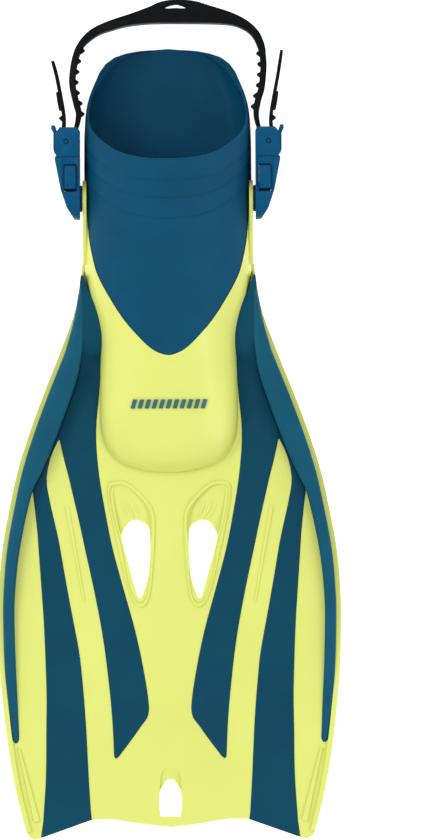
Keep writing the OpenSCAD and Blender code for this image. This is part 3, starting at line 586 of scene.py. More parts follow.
def cut(obj: bpy.types.Object, tool: bpy.types.Object, operation: str = "DIFFERENCE") -> None:
    """Cuts a piece with a closed tool by an exact boolean, and removes the tool."""
    modify(obj, "BOOLEAN", object=tool, operation=operation, solver="EXACT")
    bpy.data.objects.remove(tool)


def sloped_tool(ring: Sequence[Sequence[float]], top: float,
                floor: Callable[[float], float]) -> bpy.types.Object:
    """Makes a closed cutter under a flat top, whose floor slopes along the fin.

    Args:
        ring: Its outline in plan.
        top: Height of its top.
        floor: Height of its floor at a place along the fin.

    Returns:
        The cutter.
    """
    count = len(ring)
    points = [(x, y, top) for x, y in ring] + [(x, y, floor(y)) for x, y in ring]
    faces = [tuple(range(count)), tuple(count + k for k in reversed(range(count)))]
    faces += [(k, count + k, count + (k + 1) % count, (k + 1) % count) for k in range(count)]
    return mesh_piece("sloped_tool", points, faces)


@dataclass
class Workshop:
    """Holds what every sub-assembly needs: the frame, the places and the finishes."""

    frame: dict[str, Any]
    fin: FinFrame
    palette: Palette

    def softened(self, node: str, width: float,
                 first: Callable[[bpy.types.Object], None] | None = None) -> bpy.types.Object:
        """Copies a CAD node with its edges rounded.

        Args:
            node: Name of the CAD node.
            width: Width of the rounding in millimetres.
            first: Work done on the copy before its edges are rounded.

        Returns:
            The new piece.
        """
        mesh = self.frame["nodes"][node].data.copy()
        mesh.materials.clear()
        obj = bpy.data.objects.new(node + "_shell", mesh)
        bpy.context.scene.collection.objects.link(obj)

        def clean() -> None:
            """Joins the loose triangles and takes out the lines across flat faces."""
            bpy.ops.mesh.remove_doubles(threshold=0.01 * MM)
            bpy.ops.mesh.dissolve_limited(angle_limit=math.radians(0.4))

        edit(obj, clean)
        if first:
            first(obj)
        round_edges(obj, width)
        return obj

    def fit(self, obj: bpy.types.Object, finish: Finish, body: str, slot: str,
            nodes: Sequence[str] = (), weighted: bool = False) -> bpy.types.Object:
        """Dresses a finished piece and joins it to its body.

        Args:
            obj: The piece.
            finish: Its finish.
            body: The CAD body that it rides on.
            slot: The record's material slot of the piece; not used.
            nodes: CAD nodes that it stands for.
            weighted: Whether large flat faces keep their own normals.

        Returns:
            The piece.
        """
        shade(obj)
        if weighted:
            modify(obj, "WEIGHTED_NORMAL", keep_sharp=True, weight=100)
        obj.data.materials.clear()
        obj.data.materials.append(self.palette.get(finish))
        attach(obj, body)
        if nodes:
            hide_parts(*nodes)
        size = [d / MM for d in obj.dimensions]
        LOG.info("%s: %d faces on %s, %.1f x %.1f x %.1f mm", obj.name, len(obj.data.polygons), body, *size)
        return obj


# ---------------------------------------------------------------- foot pocket

@dataclass
class FootPocket:
    """The rubber pocket and the hard toe frame round it, both from one foot-shaped form."""

    shop: Workshop
    wall: float = 3.9
    bed: float = 5.4
    side_h: float = 22.0
    arch: float = 2.4
    sole: float = 7.0
    around_low: int = 18
    around_high: int = 30
    along: int = 84
    near_rim: float = 46.0
    rim_wall: float = 2.1
    thinning: tuple[float, float] = (105.0, 160.0)
    bed_share: float = 0.78
    step_d: tuple[float, ...] = (12.6, 24.0, 37.3)
    step_h: float = 1.0
    step_sink: float = 1.0
    step_run: float = 0.4
    bead_r: float = 0.9
    fillet_r: float = 2.8
    toe_middle: float = 32.0
    print_lift: float = 0.56
    ink_t: float = 0.12
    _cache: dict[tuple[int, bool], list[tuple[float, float]]] = field(default_factory=dict)

    def __post_init__(self) -> None:
        """Reads the knots of the form."""
        self.widths = [(s[0], s[1]) for s in STATIONS]
        self.heights = [(s[0], s[2]) for s in STATIONS]

    def size(self, y: float) -> tuple[float, float]:
        """Half-width and height of the outside at a place along the foot."""
        fin = self.shop.fin
        u = min(1.0, max(0.0, (y - fin.toe_y) / fin.pocket_length))
        return smooth(self.widths, u) * fin.pocket_half, smooth(self.heights, u) * fin.instep

    def half_section(self, y: float, inner: bool) -> list[tuple[float, float]]:
        """Half a section across the foot, from the sole's middle up to the top's middle.

        Args:
            y: Place along the foot.
            inner: Whether this is the inside of the wall.

        Returns:
            Points (x, z) at even distances along the lower and the upper part.
        """
        w, h = self.size(y)
        if inner:
            wall = self.wall + (self.rim_wall - self.wall) * smoothstep(*self.thinning, y)
            w, h = max(2.0, w - wall), h - wall
        s = min(self.side_h, 0.55 * h)
        t = np.linspace(0.0, 1.0, 160) * math.pi / 2
        if inner:
            low = self.bed_line(w, s)
        else:
            low = np.stack([w * np.sin(t)**(2 / self.sole), s - s * np.cos(t)**(2 / self.sole)], 1)
        high = np.stack([w * np.cos(t)**(2 / self.arch), s + (h - s) * np.sin(t)**(2 / self.arch)], 1)
        made = []
        for part, count in ((low, self.around_low), (high, self.around_high)):
            run = np.concatenate([[0], np.cumsum(np.hypot(*np.diff(part, axis=0).T))])
            at = np.linspace(0, run[-1], count + 1)
            made.append(np.stack([np.interp(at, run, part[:, 0]), np.interp(at, run, part[:, 1])], 1))
        return [tuple(p) for p in made[0]] + [tuple(p) for p in made[1][1:]]

    def bed_line(self, w: float, s: float) -> np.ndarray:
        """Half the foot bed and the wall that leans outwards from its crease.

        Args:
            w: Half-width where the wall ends.
            s: Height where the wall ends.

        Returns:
            Points (x, z) from the middle of the bed to the top of the wall.
        """
        crease = self.bed_share * w
        flat = [(x, self.bed) for x in spread(0.0, crease - 1.0, 40)]
        rise = [(crease + (w - crease) * math.sin(q * math.pi / 2), self.bed + (s - self.bed) * q**1.25)
                for q in spread(0.0, 1.0, 80)]
        return np.array(flat + rise)

    def rim_z(self, y: float) -> float:
        """Height of the rim of the foot opening at a place along the foot."""
        fin = self.shop.fin
        return smooth(RIM, (y - fin.toe_y) / fin.pocket_length) * fin.instep

    def line_ends(self, inner: bool) -> list[float]:
        """Where each lengthwise line of the form reaches the rim."""
        fin = self.shop.fin
        places = np.linspace(fin.toe_y + 0.703 * fin.pocket_length, fin.heel_y, 260)
        sections = [self.half_section(y, inner) for y in places]
        rims = [self.rim_z(y) for y in places]
        ends = []
        for k in range(self.around_low + self.around_high + 1):
            above = [section[k][1] - rim for section, rim in zip(sections, rims)]
            crossing = next((i for i, a in enumerate(above) if a > 0), None)
            if crossing in (None, 0):
                ends.append(fin.heel_y)
            else:
                a, b = above[crossing - 1], above[crossing]
                ends.append(places[crossing - 1] + (places[1] - places[0]) * a / (a - b))
        return ends

    def grid(self, inner: bool, grow: float) -> np.ndarray:
        """Points of one face of the wall, indexed by line round the foot and step along it."""
        fin = self.shop.fin
        start = fin.toe_y + (self.wall + 1.5 if inner else 0.0)
        half = []
        for k, end in enumerate(self.line_ends(inner)):
            line = []
            for y in self.places(start, end):
                x, z = self.half_section_at(y, inner)[k]
                line.append((x, y, z))
            half.append(line)
        grid = np.array(half)
        if not inner:
            grid = self.relief(grid, grow)
        other = grid[1:-1][::-1].copy()
        other[:, :, 0] *= -1
        return np.concatenate([grid, other])

    def places(self, start: float, end: float) -> list[float]:
        """Places along a line of the form, close together at the toe and at the steps near the rim."""
        offsets = {0.0, 1.0, 2.5, 5.0, 8.0, 17.0, 20.0, 28.0, 32.0, 42.0, self.near_rim}
        for d in self.step_d:
            offsets |= {d - 2.0, d - self.step_run, d - self.step_run / 3, d + self.step_run / 3,
                        d + self.step_run, d + 2.0}
        run = end - self.near_rim - start
        head = [start + run * (0.45 * t + 0.55 * t**2.2) for t in spread(0.0, 1.0, self.along)]
        return head + [end - d for d in sorted(offsets, reverse=True)[1:]]

    def half_section_at(self, y: float, inner: bool) -> list[tuple[float, float]]:
        """Section at a place, kept for the next line that asks for a close one."""
        key = (round(y * 4), inner)
        if key not in self._cache:
            self._cache[key] = self.half_section(key[0] / 4, inner)
        return self._cache[key]

    def relief(self, grid: np.ndarray, grow: float) -> np.ndarray:
        """Raises the outside by grow and by the low steps that run round the instep."""
        out = grid.copy()
        count, steps, _ = grid.shape
        for k in range(count):
            share = smoothstep(self.around_low + 3, self.around_low + 13, k)
            for j in range(steps):
                to_rim = grid[k][-1][1] - grid[k][j][1]
                rise = sum(1 - smoothstep(d - self.step_run, d + self.step_run, to_rim)
                           for d in self.step_d)
                width, height = self.size(grid[k][j][1])
                away = np.array([grid[k][j][0] / max(width, 1), 0,
                                 max(0.0, grid[k][j][2] - self.side_h) / max(height - self.side_h, 1)])
                length = np.linalg.norm(away)
                if length > 0:
                    out[k][j] += away / length * (share * (rise - self.step_sink) * self.step_h + grow)
        return out

    def shell(self, name: str, grow: float = 0.0) -> bpy.types.Object:
        """Builds the closed wall, from the toe to a rounded bead along the rim."""
        outer, inner = self.grid(False, grow), self.grid(True, 0.0)
        lines, steps, _ = outer.shape
        bead = []
        for k in range(lines):
            a, b = outer[k][-1], inner[k][-1]
            along = outer[k][-1] - outer[k][-3]
            along = along / (np.linalg.norm(along) or 1)
            bead.append([(1 - t) * a + t * b + along * self.bead_r * math.sin(math.pi * t)
                         for t in (0.12, 0.3, 0.5, 0.7, 0.88)])
        rows = [np.concatenate([outer[k], np.array(bead[k]), inner[k][::-1]]) for k in range(lines)]
        across = len(rows[0])
        points = [tuple(p) for row in rows for p in row]
        faces = [(k * across + j, k * across + j + 1, (k + 1) % lines * across + j + 1,
                  (k + 1) % lines * across + j) for k in range(lines) for j in range(across - 1)]
        for j in (0, across - 1):
            centre = len(points)
            ring = np.array([rows[k][j] for k in range(lines)])
            points.append(tuple(ring.mean(0)))
            faces += [(k * across + j, (k + 1) % lines * across + j, centre) for k in range(lines)]
        return mesh_piece(name, points, faces)

    def upper_plan(self) -> list[Vector]:
        """Outline in plan of the soft upper, open past the heel."""
        fin = self.shop.fin
        knots = [(-q[0], q[1]) for q in reversed(TONGUE[1:3])] + list(TONGUE)
        half = spline([(q[0] * fin.pocket_half, fin.toe_y + q[1] * fin.pocket_length) for q in knots], 10)
        half = half[20:]
        wide = 1.4 * fin.pocket_half
        return [*half, Vector((wide, half[-1].y)), Vector((wide, fin.heel_y + 20)),
                Vector((-wide, fin.heel_y + 20)), Vector((-wide, half[-1].y)),
                *[Vector((-p.x, p.y)) for p in reversed(half[1:])]]

    def top_z(self, x: float, y: float) -> float:
        """Height of the outside above a place in plan."""
        w, h = self.size(y)
        s = min(self.side_h, 0.55 * h)
        return s + (h - s) * (1 - min(1.0, abs(x) / w)**self.arch)**(1 / self.arch)

    def build(self) -> None:
        """Builds the pocket, the toe frame and the print."""
        plan = self.upper_plan()
        pocket = self.shell("foot_pocket_rubber")
        cut(pocket, prism("upper_tool", plan, -5, 120), "INTERSECT")
        self.shop.fit(pocket, Finish.POCKET_RUBBER, "fin", "pocket_rubber", ["foot_pocket"])
        frame = self.shell("toe_frame_moulding", grow=0.45)
        cut(frame, prism("frame_tool", plan, -5, 120))
        self.shop.fit(frame, Finish.BLADE_PLASTIC, "fin", "hard_yellow", ["toe_frame"])
        self.toe_fillet()
        self.print_bars()

    def reach(self, angle: float, height: float) -> float:
        """Distance from the middle of the toe box to where the outside falls below a height.

        Args:
            angle: Direction in plan, in degrees from straight ahead.
            height: The height.

        Returns:
            The distance in millimetres.
        """
        fin = self.shop.fin
        low, high = 0.0, 70.0
        for _ in range(30):
            middle = (low + high) / 2
            x = middle * math.sin(math.radians(angle))
            y = fin.toe_y + self.toe_middle - middle * math.cos(math.radians(angle))
            inside = y > fin.toe_y and abs(x) < self.size(y)[0]
            if inside and (self.top_z(x, y) > height or height < 0.55 * self.size(y)[1]):
                low = middle
            else:
                high = middle
        return low

    def toe_fillet(self) -> None:
        """Builds the hollow blend between the toe frame and the blade."""
        fin = self.shop.fin
        rings = []
        for angle in spread(-112.0, 112.0, 128):
            size = self.fillet_r * (0.1 + 0.9 * (1 - smoothstep(88.0, 112.0, abs(angle))))
            foot = self.reach(angle, fin.plate_top) + 0.45
            start = (self.reach(angle, fin.plate_top + size) + 0.15, fin.plate_top + size)
            end = (foot + size, fin.plate_top + 0.02)
            line = [((1 - t)**2 * start[0] + 2 * t * (1 - t) * foot + t * t * end[0],
                     (1 - t)**2 * start[1] + 2 * t * (1 - t) * (fin.plate_top + 0.02) + t * t * end[1])
                    for t in spread(0.0, 1.0, 8)]
            line += [(end[0], fin.plate_top - 1.0), (start[0] - 0.6, fin.plate_top - 1.0)]
            turn = math.radians(angle)
            rings.append([(r * math.sin(turn), fin.toe_y + self.toe_middle - r * math.cos(turn), z)
                          for r, z in line])
        self.shop.fit(loft("toe_fillet", rings), Finish.BLADE_PLASTIC, "fin", "hard_yellow")

    def print_bars(self) -> None:
        """Prints a row of slanted bars across the toe frame."""
        fin = self.shop.fin
        base_y = fin.toe_y + 0.167 * fin.pocket_length
        count, pitch, width, height, lean = 11, 4.65, 2.9, 6.0, 1.8
        points: list[Point] = []
        faces: list[Sequence[int]] = []
        for i in range(count):
            x0 = -25.4 + i * pitch
            start = len(points)
            for row in range(5):
                t = row / 4
                for x in (x0, x0 + width / 2, x0 + width):
                    px, py = x + lean * t, base_y + height * (t - 0.5)
                    points.append((px, py, self.top_z(px, py) + self.print_lift))
            faces += [(start + 3 * r + c, start + 3 * r + c + 1, start + 3 * r + c + 4, start + 3 * r + c + 3)
                      for r in range(4) for c in range(2)]
        bars = mesh_piece("printed_bars", points, faces, outward=False)
        modify(bars, "SOLIDIFY", thickness=self.ink_t * MM, offset=-1.0)
        self.shop.fit(bars, Finish.INK, "fin", "blade_rubber")


# ---------------------------------------------------------------- blade

@dataclass
class Blade:
    """The hard plate with its soft channels and rails."""

    shop: Workshop
    rounding: float = 0.5
    crown: float = 0.8
    soft_r: float = 0.9
    rail_r: float = 2.2
    edge_run: float = 2.2
    scoop_slope: float = 0.12
    scoop_depth: float = 3.2
    scoop_start: float = 7.3
    ramp_slope: float = 0.2
    rows: int = 150
    columns: int = 10

    def ribbon(self, name: str, v0: float, v1: float, inside: Callable[[float], tuple[float, float]],
               outside: Callable[[float], tuple[float, float]], base: float,
               height: Callable[[float, float, float], float], round_end: float = 0.0) -> bpy.types.Object:
        """Skins a band between two borders.

        Args:
            name: Name of the piece.
            v0: Share of the blade's run where it starts.
            v1: Share where it ends.
            inside: Border nearer the middle, at share v.
            outside: Border nearer the edge, at share v.
            base: Height of its underside.
            height: Height of its top at share v, at share t across, for its width there.
            round_end: Length in millimetres over which its far end is rounded in plan.

        Returns:
            The new piece.
        """
        rings = []
        run = self.shop.fin.neck_y - self.shop.fin.tip_y
        edges = [0.0, 0.03, 0.1, 0.22, 0.42, 0.7, 1.0]
        for i in range(self.rows + 1):
            v = v0 + (v1 - v0) * i / self.rows
            if round_end:
                share = min(1.0, i / self.rows)
                v = v0 + (v1 - v0) * (1 - (1 - share)**1.3)
            a, b = Vector(inside(v)), Vector(outside(v))
            if round_end:
                left = min(1.0, (v1 - v) * run / round_end)
                keep = 0.03 + 0.97 * math.sqrt(max(0.0, 1 - (1 - left)**2))
                middle = (a + b) / 2
                a, b = middle + (a - middle) * keep, middle + (b - middle) * keep
            width = max(0.05, (b - a).length)
            turn = min(self.edge_run, 0.4 * width) / width
            places = [turn * q for q in edges]
            places += [turn + (1 - 2 * turn) * q / self.columns for q in range(1, self.columns)]
            places += [1 - turn * q for q in reversed(edges)]
            ring = [(a.x, a.y, base)]
            for t in places:
                p = a.lerp(b, t)
                ring.append((p.x, p.y, max(base + 0.2, height(v, t, width))))
            ring.append((b.x, b.y, base))
            rings.append(ring)
        return loft(name, rings)

    @staticmethod
    def shoulder(distance: float, radius: float) -> float:
        """Drop of a rounded shoulder at a distance from its edge."""
        if radius <= 0.0:
            return 0.0
        near = 1 - min(1.0, distance / radius)
        return radius * (1 - math.sqrt(max(0.0, 1 - near * near)))

    def joined(self, v: float) -> float:
        """How far the trunk and the rail run into one another at share v, from 0 to 1."""
        return 1.0 - smoothstep(0.17, 0.25, v)

    def rail_top(self, v: float) -> float:
        """Height of the rail over the plate at share v."""
        return self.shop.fin.rail_h * smooth(RAIL_RISE, max(0.05, v))

    def inlay(self) -> bpy.types.Object:
        """Builds the trunk with the inner channel, and joins the outer channel to it."""
        fin = self.shop.fin
        pocket = FootPocket(self.shop)

        def inner(v: float) -> tuple[float, float]:
            """Border on the flank of the foot pocket and then against the plate."""
            x, y = fin.border(INNER_IN, v)
            if y > fin.toe_y:
                x = max(x, pocket.size(y)[0] + 0.3)
            climb = 1 - smoothstep(0.19, 0.235, v)
            return x + (smooth(CLIMB, v) - x) * climb, y

        def outer(v: float) -> tuple[float, float]:
            """Border against the rail and then against the first hard insert."""
            x, y = fin.border(RAIL_IN if v < 0.345 else INNER_OUT, v)
            edge = fin.edge_x(v)
            return x + (edge - x) * (1 - smoothstep(0.09, 0.105, v)), y

        def top(v: float, t: float, width: float) -> float:
            """Flat on the blade; near the neck a hollow from the pocket's flank to the rail."""
            joined = self.joined(v)
            x, y = inner(v)
            flank = 0.0
            if v < 0.262:
                flank = fin.rail_h * max(0.0, smooth(TRUNK_RISE, v))
                if v < 0.235 and x < pocket.size(y)[0]:
                    flank = max(flank, pocket.top_z(x, y) + 0.5 - fin.plate_top - self.crown)
            high = joined * (flank * (1 - t) + 0.92 * self.rail_top(v) * t)
            high += (1 - joined) * flank * (1 - t)**1.7
            drop = self.shoulder(t * width, self.soft_r) if v > 0.235 else 0.0
            drop += self.shoulder((1 - t) * width, self.soft_r * (1 - joined))
            return fin.plate_top + self.crown + high - drop

        def branch_top(v: float, t: float, width: float) -> float:
            """Flat, with rounded shoulders."""
            return (fin.plate_top + self.crown - 0.04 - self.shoulder(t * width, self.soft_r)
                    - self.shoulder((1 - t) * width, self.soft_r))

        def tip(knots: Knots) -> Callable[[float], tuple[float, float]]:
            """Border of the outer channel, ended on the edge of the tip."""
            def at(v: float) -> tuple[float, float]:
                """Point of the border at share v."""
                x, y = fin.border(knots, v)
                return x, max(y, fin.tip_y_at(x) + 0.02)
            return at

        trunk = self.ribbon("right_channels", 0.076, 0.868, inner, outer, fin.channel_floor, top, 3.2)
        branch = self.ribbon("branch", 0.333, 1.0, tip(OUTER_IN),
                             lambda v: tip(RAIL_IN if v < 0.43 else OUTER_OUT)(v),
                             fin.channel_floor, branch_top)
        return join(trunk, branch)

    def rail(self) -> bpy.types.Object:
        """Builds the rounded rail along the edge."""
        fin = self.shop.fin

        def inner(v: float) -> tuple[float, float]:
            """Border against the trunk."""
            x, y = fin.border(RAIL_IN, max(v, 0.05))
            edge = fin.edge_x(v)
            return x + (edge - 0.6 - x) * (1 - smoothstep(0.09, 0.105, v)), y

        def top(v: float, t: float, width: float) -> float:
            """Rounded back that leans towards the edge."""
            joined = self.joined(v)
            high = self.rail_top(v) * (0.92 + 0.08 * math.sin(math.pi * t))
            drop = self.shoulder(t * width, self.rail_r * (1 - joined))
            drop += self.shoulder((1 - t) * width, self.rail_r)
            return fin.plate_top + self.crown * joined * (1 - t) + high - drop

        return self.ribbon("right_side_rail", 0.09, 0.842, inner,
                           lambda v: (fin.lip_x(v) - 0.05, fin.blade_y(v)), fin.plate_top, top, 4.0)

    def scoop(self, plate: bpy.types.Object) -> None:
        """Cuts the sloping mouth of each vent into the plate and lays its ribs."""
        fin = self.shop.fin
        outline = [(p.x, fin.toe_y + p.y) for p in spline(SCOOP, 4, closed=True)]

        def slope(y: float) -> float:
            """Height of the slope at a place along the fin."""
            run = fin.toe_y - self.scoop_start - y
            return fin.plate_top - min(self.scoop_depth, 0.3 + self.scoop_slope * run)

        ribs = []
        for side in (1, -1):
            cut(plate, sloped_tool([(side * x, y) for x, y in outline], fin.plate_top + 4.0, slope))
            for x0, x1 in ((29.5, 22.5), (32.6, 26.6), (24.5, 18.6)):
                ribs.append(self.ridge(f"rib_{side}_{x0:.0f}", [
                    (side * (x0 + (x1 - x0) * q), fin.toe_y - 15.5 - 14.5 * q,
                     slope(fin.toe_y - 15.5 - 14.5 * q) - 0.15) for q in spread(0, 1, 12)], 2.2, 1.0))
        ribs = join(*ribs)
        ribs.name = "vent_ribs"
        self.shop.fit(ribs, Finish.BLADE_PLASTIC, "fin", "hard_yellow")

    @staticmethod
    def ridge(name: str, line: Sequence[Point], width: float, height: float) -> bpy.types.Object:
        """Lays a half-round ridge that runs out at both ends along a line."""
        rings = []
        last = len(line) - 1
        for i, (x, y, z) in enumerate(line):
            ahead, behind = Vector(line[min(i + 1, last)]), Vector(line[max(i - 1, 0)])
            across = Vector(((ahead - behind).y, -(ahead - behind).x)).normalized()
            size = 0.15 + 0.85 * math.sin(math.pi * i / last)
            rings.append([(x + across.x * width / 2 * size * math.cos(q * math.pi / 6),
                           y + across.y * width / 2 * size * math.cos(q * math.pi / 6),
                           z + height * size * math.sin(q * math.pi / 6)) for q in range(7)])
        return loft(name, rings)

    def ramp(self, plate: bpy.types.Object) -> None:
        """Cuts the finger ramp above the hanging hole."""
        fin = self.shop.fin
        hole_top = fin.tip_y + 40
        half = [(1.3, hole_top + 7.8), (3.5, hole_top + 6.9), (5.4, hole_top + 4.6), (6.7, hole_top + 1.0),
                (7.2, hole_top - 6)]
        ring = half + [(-x, y) for x, y in reversed(half)]
        start = half[0][1]
        cut(plate, sloped_tool(ring, fin.plate_top + 3.0,
                               lambda y: fin.plate_top - 0.1 - self.ramp_slope * (start - y)))

    def build(self) -> None:
        """Builds the plate, the channels and the rails."""
        shop = self.shop
        plate = shop.softened("blade", self.rounding)
        self.scoop(plate)
        self.ramp(plate)
        shop.fit(plate, Finish.BLADE_PLASTIC, "fin", "hard_yellow", ["blade"], weighted=True)
        # The rail takes the lighter rubber, whose colour carries painted light on its top.
        for piece, node, finish in ((self.inlay(), "blade_inlay", Finish.CHANNEL_RUBBER),
                                    (self.rail(), "rail", Finish.RAIL_RUBBER_PAINTED_LIGHT)):
            left = mirrored(piece, piece.name.replace("right", "left"))
            shop.fit(piece, finish, "fin", "blade_rubber", ["right_" + node])
            shop.fit(left, finish, "fin", "blade_rubber", ["left_" + node])
        for side in ("left", "right"):
            arm = shop.softened(side + "_side_arm", 0.3)
            shop.fit(arm, Finish.BLADE_PLASTIC, "fin", "hard_yellow", [side + "_side_arm"])
        dress_node(shop, "foot_plate")


def join(first: bpy.types.Object, *others: bpy.types.Object) -> bpy.types.Object:
    """Joins pieces into the first one."""
    make_active(first)
    for other in others:
        other.select_set(True)
    bpy.ops.object.join()
    return first


def grow(obj: bpy.types.Object, factors: tuple[float, float, float]) -> None:
    """Scales a mesh about the middle of its own box."""
    points = np.array([v.co for v in obj.data.vertices])
    middle = (points.max(0) + points.min(0)) / 2
    for vertex, point in zip(obj.data.vertices, middle + (points - middle) * np.array(factors)):
        vertex.co = point


def dress_node(shop: Workshop, node: str) -> None:
    """Gives a CAD node that stays the finish of its slot."""
    slots = {s["node"]: s["material_slot"] for s in shop.frame["record"]["subparts"]}
    obj = shop.frame["nodes"][node]
    obj.data.materials.clear()
    obj.data.materials.append(shop.palette.get(SLOT_FINISH[slots[node]]))


# ---------------------------------------------------------------- strap and buckles

@dataclass
class HeelStrap:
    """The strap with its teeth, pad, pull lobe and tails."""

    shop: Workshop
    rounding: float = 0.35

    def build(self) -> None:
        """Builds the strap."""
        strap = self.shop.softened("heel_strap", self.rounding)
        self.shop.fit(strap, Finish.STRAP_RUBBER, "strap_unit", "strap_rubber", ["heel_strap"])


@dataclass
class Buckle:
    """One buckle: socket, plug, ratchet lever, roller, pins and release tabs."""

    shop: Workshop
    side: str
    tab_growth: tuple[float, float, float] = (1.27, 1.05, 1.0)
    cap_r: float = 1.2
    cap_h: float = 0.3
    pit_r: float = 1.75
    pit_depth: float = 1.3
    recess_depth: float = 0.9
    recess_room: tuple[float, float] = (2.3, 1.4)
    groove_w: float = 0.9
    groove_depth: float = 0.8
    groove_back: float = 0.3
    swivel: tuple[float, float] = (147.0, 36.0)
    boss_x: tuple[float, float] = (56.7, 58.3)
    boss_r: tuple[float, float] = (5.4, 8.8)

    def pin_caps(self) -> None:
        """Covers the ends of the two cross pins with moulded caps."""
        caps = []
        for node, radius in (("roller_pin", self.cap_r), ("lever_pin", self.cap_r + 0.2)):
            low, high = (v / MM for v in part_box(f"{self.side}_{node}"))
            x, y = (low.x + high.x) / 2, (low.y + high.y) / 2
            for z, up in ((high.z, 1), (low.z, -1)):
                deselect_all()
                bpy.ops.mesh.primitive_cylinder_add(
                    vertices=32, radius=radius * MM, depth=2 * self.cap_h * MM,
                    location=(x * MM, y * MM, (z + up * 0.2) * MM))
                cap = bpy.context.object
                bpy.ops.object.transform_apply(location=True, rotation=True, scale=True)
                round_edges(cap, 0.15)
                caps.append(cap)
        caps = join(*caps)
        caps.name = f"{self.side}_pin_caps"
        self.shop.fit(caps, Finish.TAB_PLASTIC, "strap_unit", "buckle_blue")

    def block(self, low: Point, high: Point) -> bpy.types.Object:
        """Makes a plain box between two corners in millimetres."""
        corners = [(low[0], low[1]), (high[0], low[1]), (high[0], high[1]), (low[0], high[1])]
        return prism("block_tool", corners, low[2], high[2])

    def detail(self, piece: bpy.types.Object, node: str) -> None:
        """Cuts the parting line and the tab recesses, or the pits round the roller pin."""
        low, high = (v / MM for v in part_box(f"{self.side}_{node}"))
        if node == "buckle_socket":
            room_x, room_y = self.recess_room
            for level, face, inward in (("upper", high.z, -1), ("lower", low.z, 1)):
                below, above = sorted((face + inward * self.groove_depth, face - inward))
                line_y = high.y - self.groove_back
                cut(piece, self.block((low.x - 1, line_y - self.groove_w, below),
                                      (high.x + 1, line_y, above)))
                tab_low, tab_high = (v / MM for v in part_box(f"{self.side}_{level}_release_tab"))
                below, above = sorted((face + inward * self.recess_depth, face - inward))
                cut(piece, self.block((tab_low.x - room_x, tab_low.y - room_y, below),
                                      (tab_high.x + room_x, tab_high.y + room_y, above)))
        elif node == "buckle_plug":
            pin_low, pin_high = (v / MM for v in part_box(f"{self.side}_roller_pin"))
            x, y = (pin_low.x + pin_high.x) / 2, (pin_low.y + pin_high.y) / 2
            ring = [(x + self.pit_r * math.cos(a), y + self.pit_r * math.sin(a))
                    for a in spread(0.0, 2 * math.pi, 40)[:-1]]
            cut(piece, prism("pit_tool", ring, high.z - self.pit_depth, high.z + 1))
            cut(piece, prism("pit_tool", ring, low.z - 1, low.z + self.pit_depth))

    def boss(self) -> None:
        """Builds the moulded ring that fills the gap round the swivel, between arm and socket."""
        y, z = self.swivel
        sign = 1 if self.side == "right" else -1
        (near, far), (inside, outside) = self.boss_x, self.boss_r
        profile = [(near, inside), (far, inside), (far, outside), (near + 0.2, outside),
                   (near, outside - 0.2)]
        rings = [[(sign * x, y + r * math.cos(a), z + r * math.sin(a)) for x, r in profile]
                 for a in spread(0.0, 2 * math.pi, 64)]
        ring = loft(f"{self.side}_swivel_boss", rings, caps=False)
        edit(ring, lambda: bpy.ops.mesh.remove_doubles(threshold=0.001 * MM))
        edit(ring, lambda: bpy.ops.mesh.normals_make_consistent(inside=False))
        self.shop.fit(ring, Finish.BUCKLE_PLASTIC, "strap_unit", "buckle_blue")

    def build(self) -> None:
        """Builds the moulded pieces and dresses the steel ones."""
        shop, side = self.shop, self.side
        for node, body, width in (("buckle_socket", "strap_unit", 0.8), ("buckle_plug", "strap_unit", 0.6),
                                  ("ratchet_lever", "lever", 0.5)):
            own = body if body == "strap_unit" else f"{side}_{body}"
            piece = shop.softened(f"{side}_{node}", width, first=lambda obj: self.detail(obj, node))
            shop.fit(piece, Finish.BUCKLE_PLASTIC, own, "buckle_blue", [f"{side}_{node}"])
        for level in ("upper", "lower"):
            node = f"{side}_{level}_release_tab"
            tab = shop.softened(node, 0.45)
            grow(tab, self.tab_growth)
            shop.fit(tab, Finish.BUCKLE_PLASTIC, f"{side}_{level}_tab", "tab_blue", [node])
        self.pin_caps()
        self.boss()
        for node in ("lever_pin", "lever_spring", "strap_roller", "roller_pin"):
            dress_node(shop, f"{side}_{node}")


# ---------------------------------------------------------------- studio

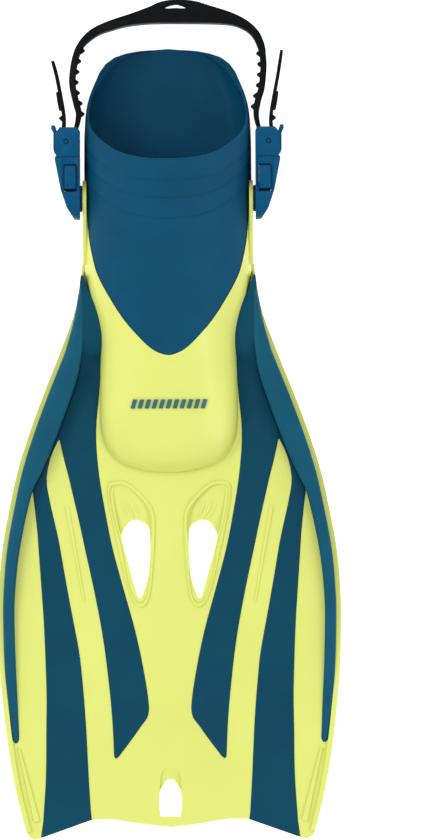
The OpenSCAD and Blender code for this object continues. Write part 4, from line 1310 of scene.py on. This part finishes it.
@dataclass
class Studio:
    """Pale floor, soft lights and the camera straight above."""

    shop: Workshop
    height: float = 6000.0
    mm_per_dot: float = 0.6667
    roll_deg: float = -0.25
    look: tuple[float, float] = (32.3, 0.0)

    def floor(self) -> None:
        """Lays a pale flat floor under the fin."""
        deselect_all()
        bpy.ops.mesh.primitive_plane_add(size=6.0, location=(0, 0, -0.0005))
        plane = bpy.context.object
        plane.name = "studio_floor"
        r = Recipe("pale_studio_paper")
        r.shader.inputs["Base Color"].default_value = linear("#c8c8c8")
        r.shader.inputs["Emission Color"].default_value = linear("#ffffff")
        r.set(Roughness=0.9, Specular_IOR_Level=0.1, Emission_Strength=0.85)
        plane.data.materials.append(r.material)

    def light(self, name: str, place: Point, size: float, watts: float) -> None:
        """Adds a soft square light that looks at the fin."""
        data = bpy.data.lights.new(name, "AREA")
        data.energy = watts
        data.size = size
        lamp = bpy.data.objects.new(name, data)
        lamp.location = place
        lamp.rotation_euler = (-Vector(place)).to_track_quat("-Z", "Y").to_euler()
        bpy.context.scene.collection.objects.link(lamp)

    def camera(self) -> None:
        """Sets the camera above the fin, looking straight down."""
        data = bpy.data.cameras.new("camera")
        data.sensor_width = 36.0
        frame_h = IMAGE_SIZE[1] * self.mm_per_dot
        data.lens = data.sensor_width * self.height / frame_h
        data.clip_end = 50.0
        camera = bpy.data.objects.new("camera", data)
        camera.location = (self.look[0] * MM, self.look[1] * MM, self.height * MM)
        camera.rotation_euler = (0.0, 0.0, math.radians(self.roll_deg))
        bpy.context.scene.collection.objects.link(camera)
        bpy.context.scene.camera = camera

    def build(self) -> None:
        """Sets up the floor, the lights, the sky and the camera."""
        self.floor()
        self.light("key_light", (-1.5, 0.5, 1.9), 0.9, 16.0)
        self.light("fill_light", (1.5, -1.1, 1.9), 1.0, 12.0)
        self.light("top_light", (0.1, 1.5, 2.4), 1.4, 8.0)
        world = bpy.data.worlds.new("soft_white_room")
        world.use_nodes = True
        world.node_tree.nodes["Background"].inputs["Color"].default_value = (1, 1, 1, 1)
        world.node_tree.nodes["Background"].inputs["Strength"].default_value = 0.8
        bpy.context.scene.world = world
        bpy.context.scene.view_settings.view_transform = "Standard"
        self.camera()


def main() -> None:
    """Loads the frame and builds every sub-assembly."""
    logging.basicConfig(level=logging.INFO, format="%(name)s: %(message)s")
    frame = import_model()
    shop = Workshop(frame, FinFrame.read(), Palette())
    Studio(shop).build()
    FootPocket(shop).build()
    Blade(shop).build()
    HeelStrap(shop).build()
    for side in ("left", "right"):
        Buckle(shop, side).build()


if __name__ == "__main__":
    main()
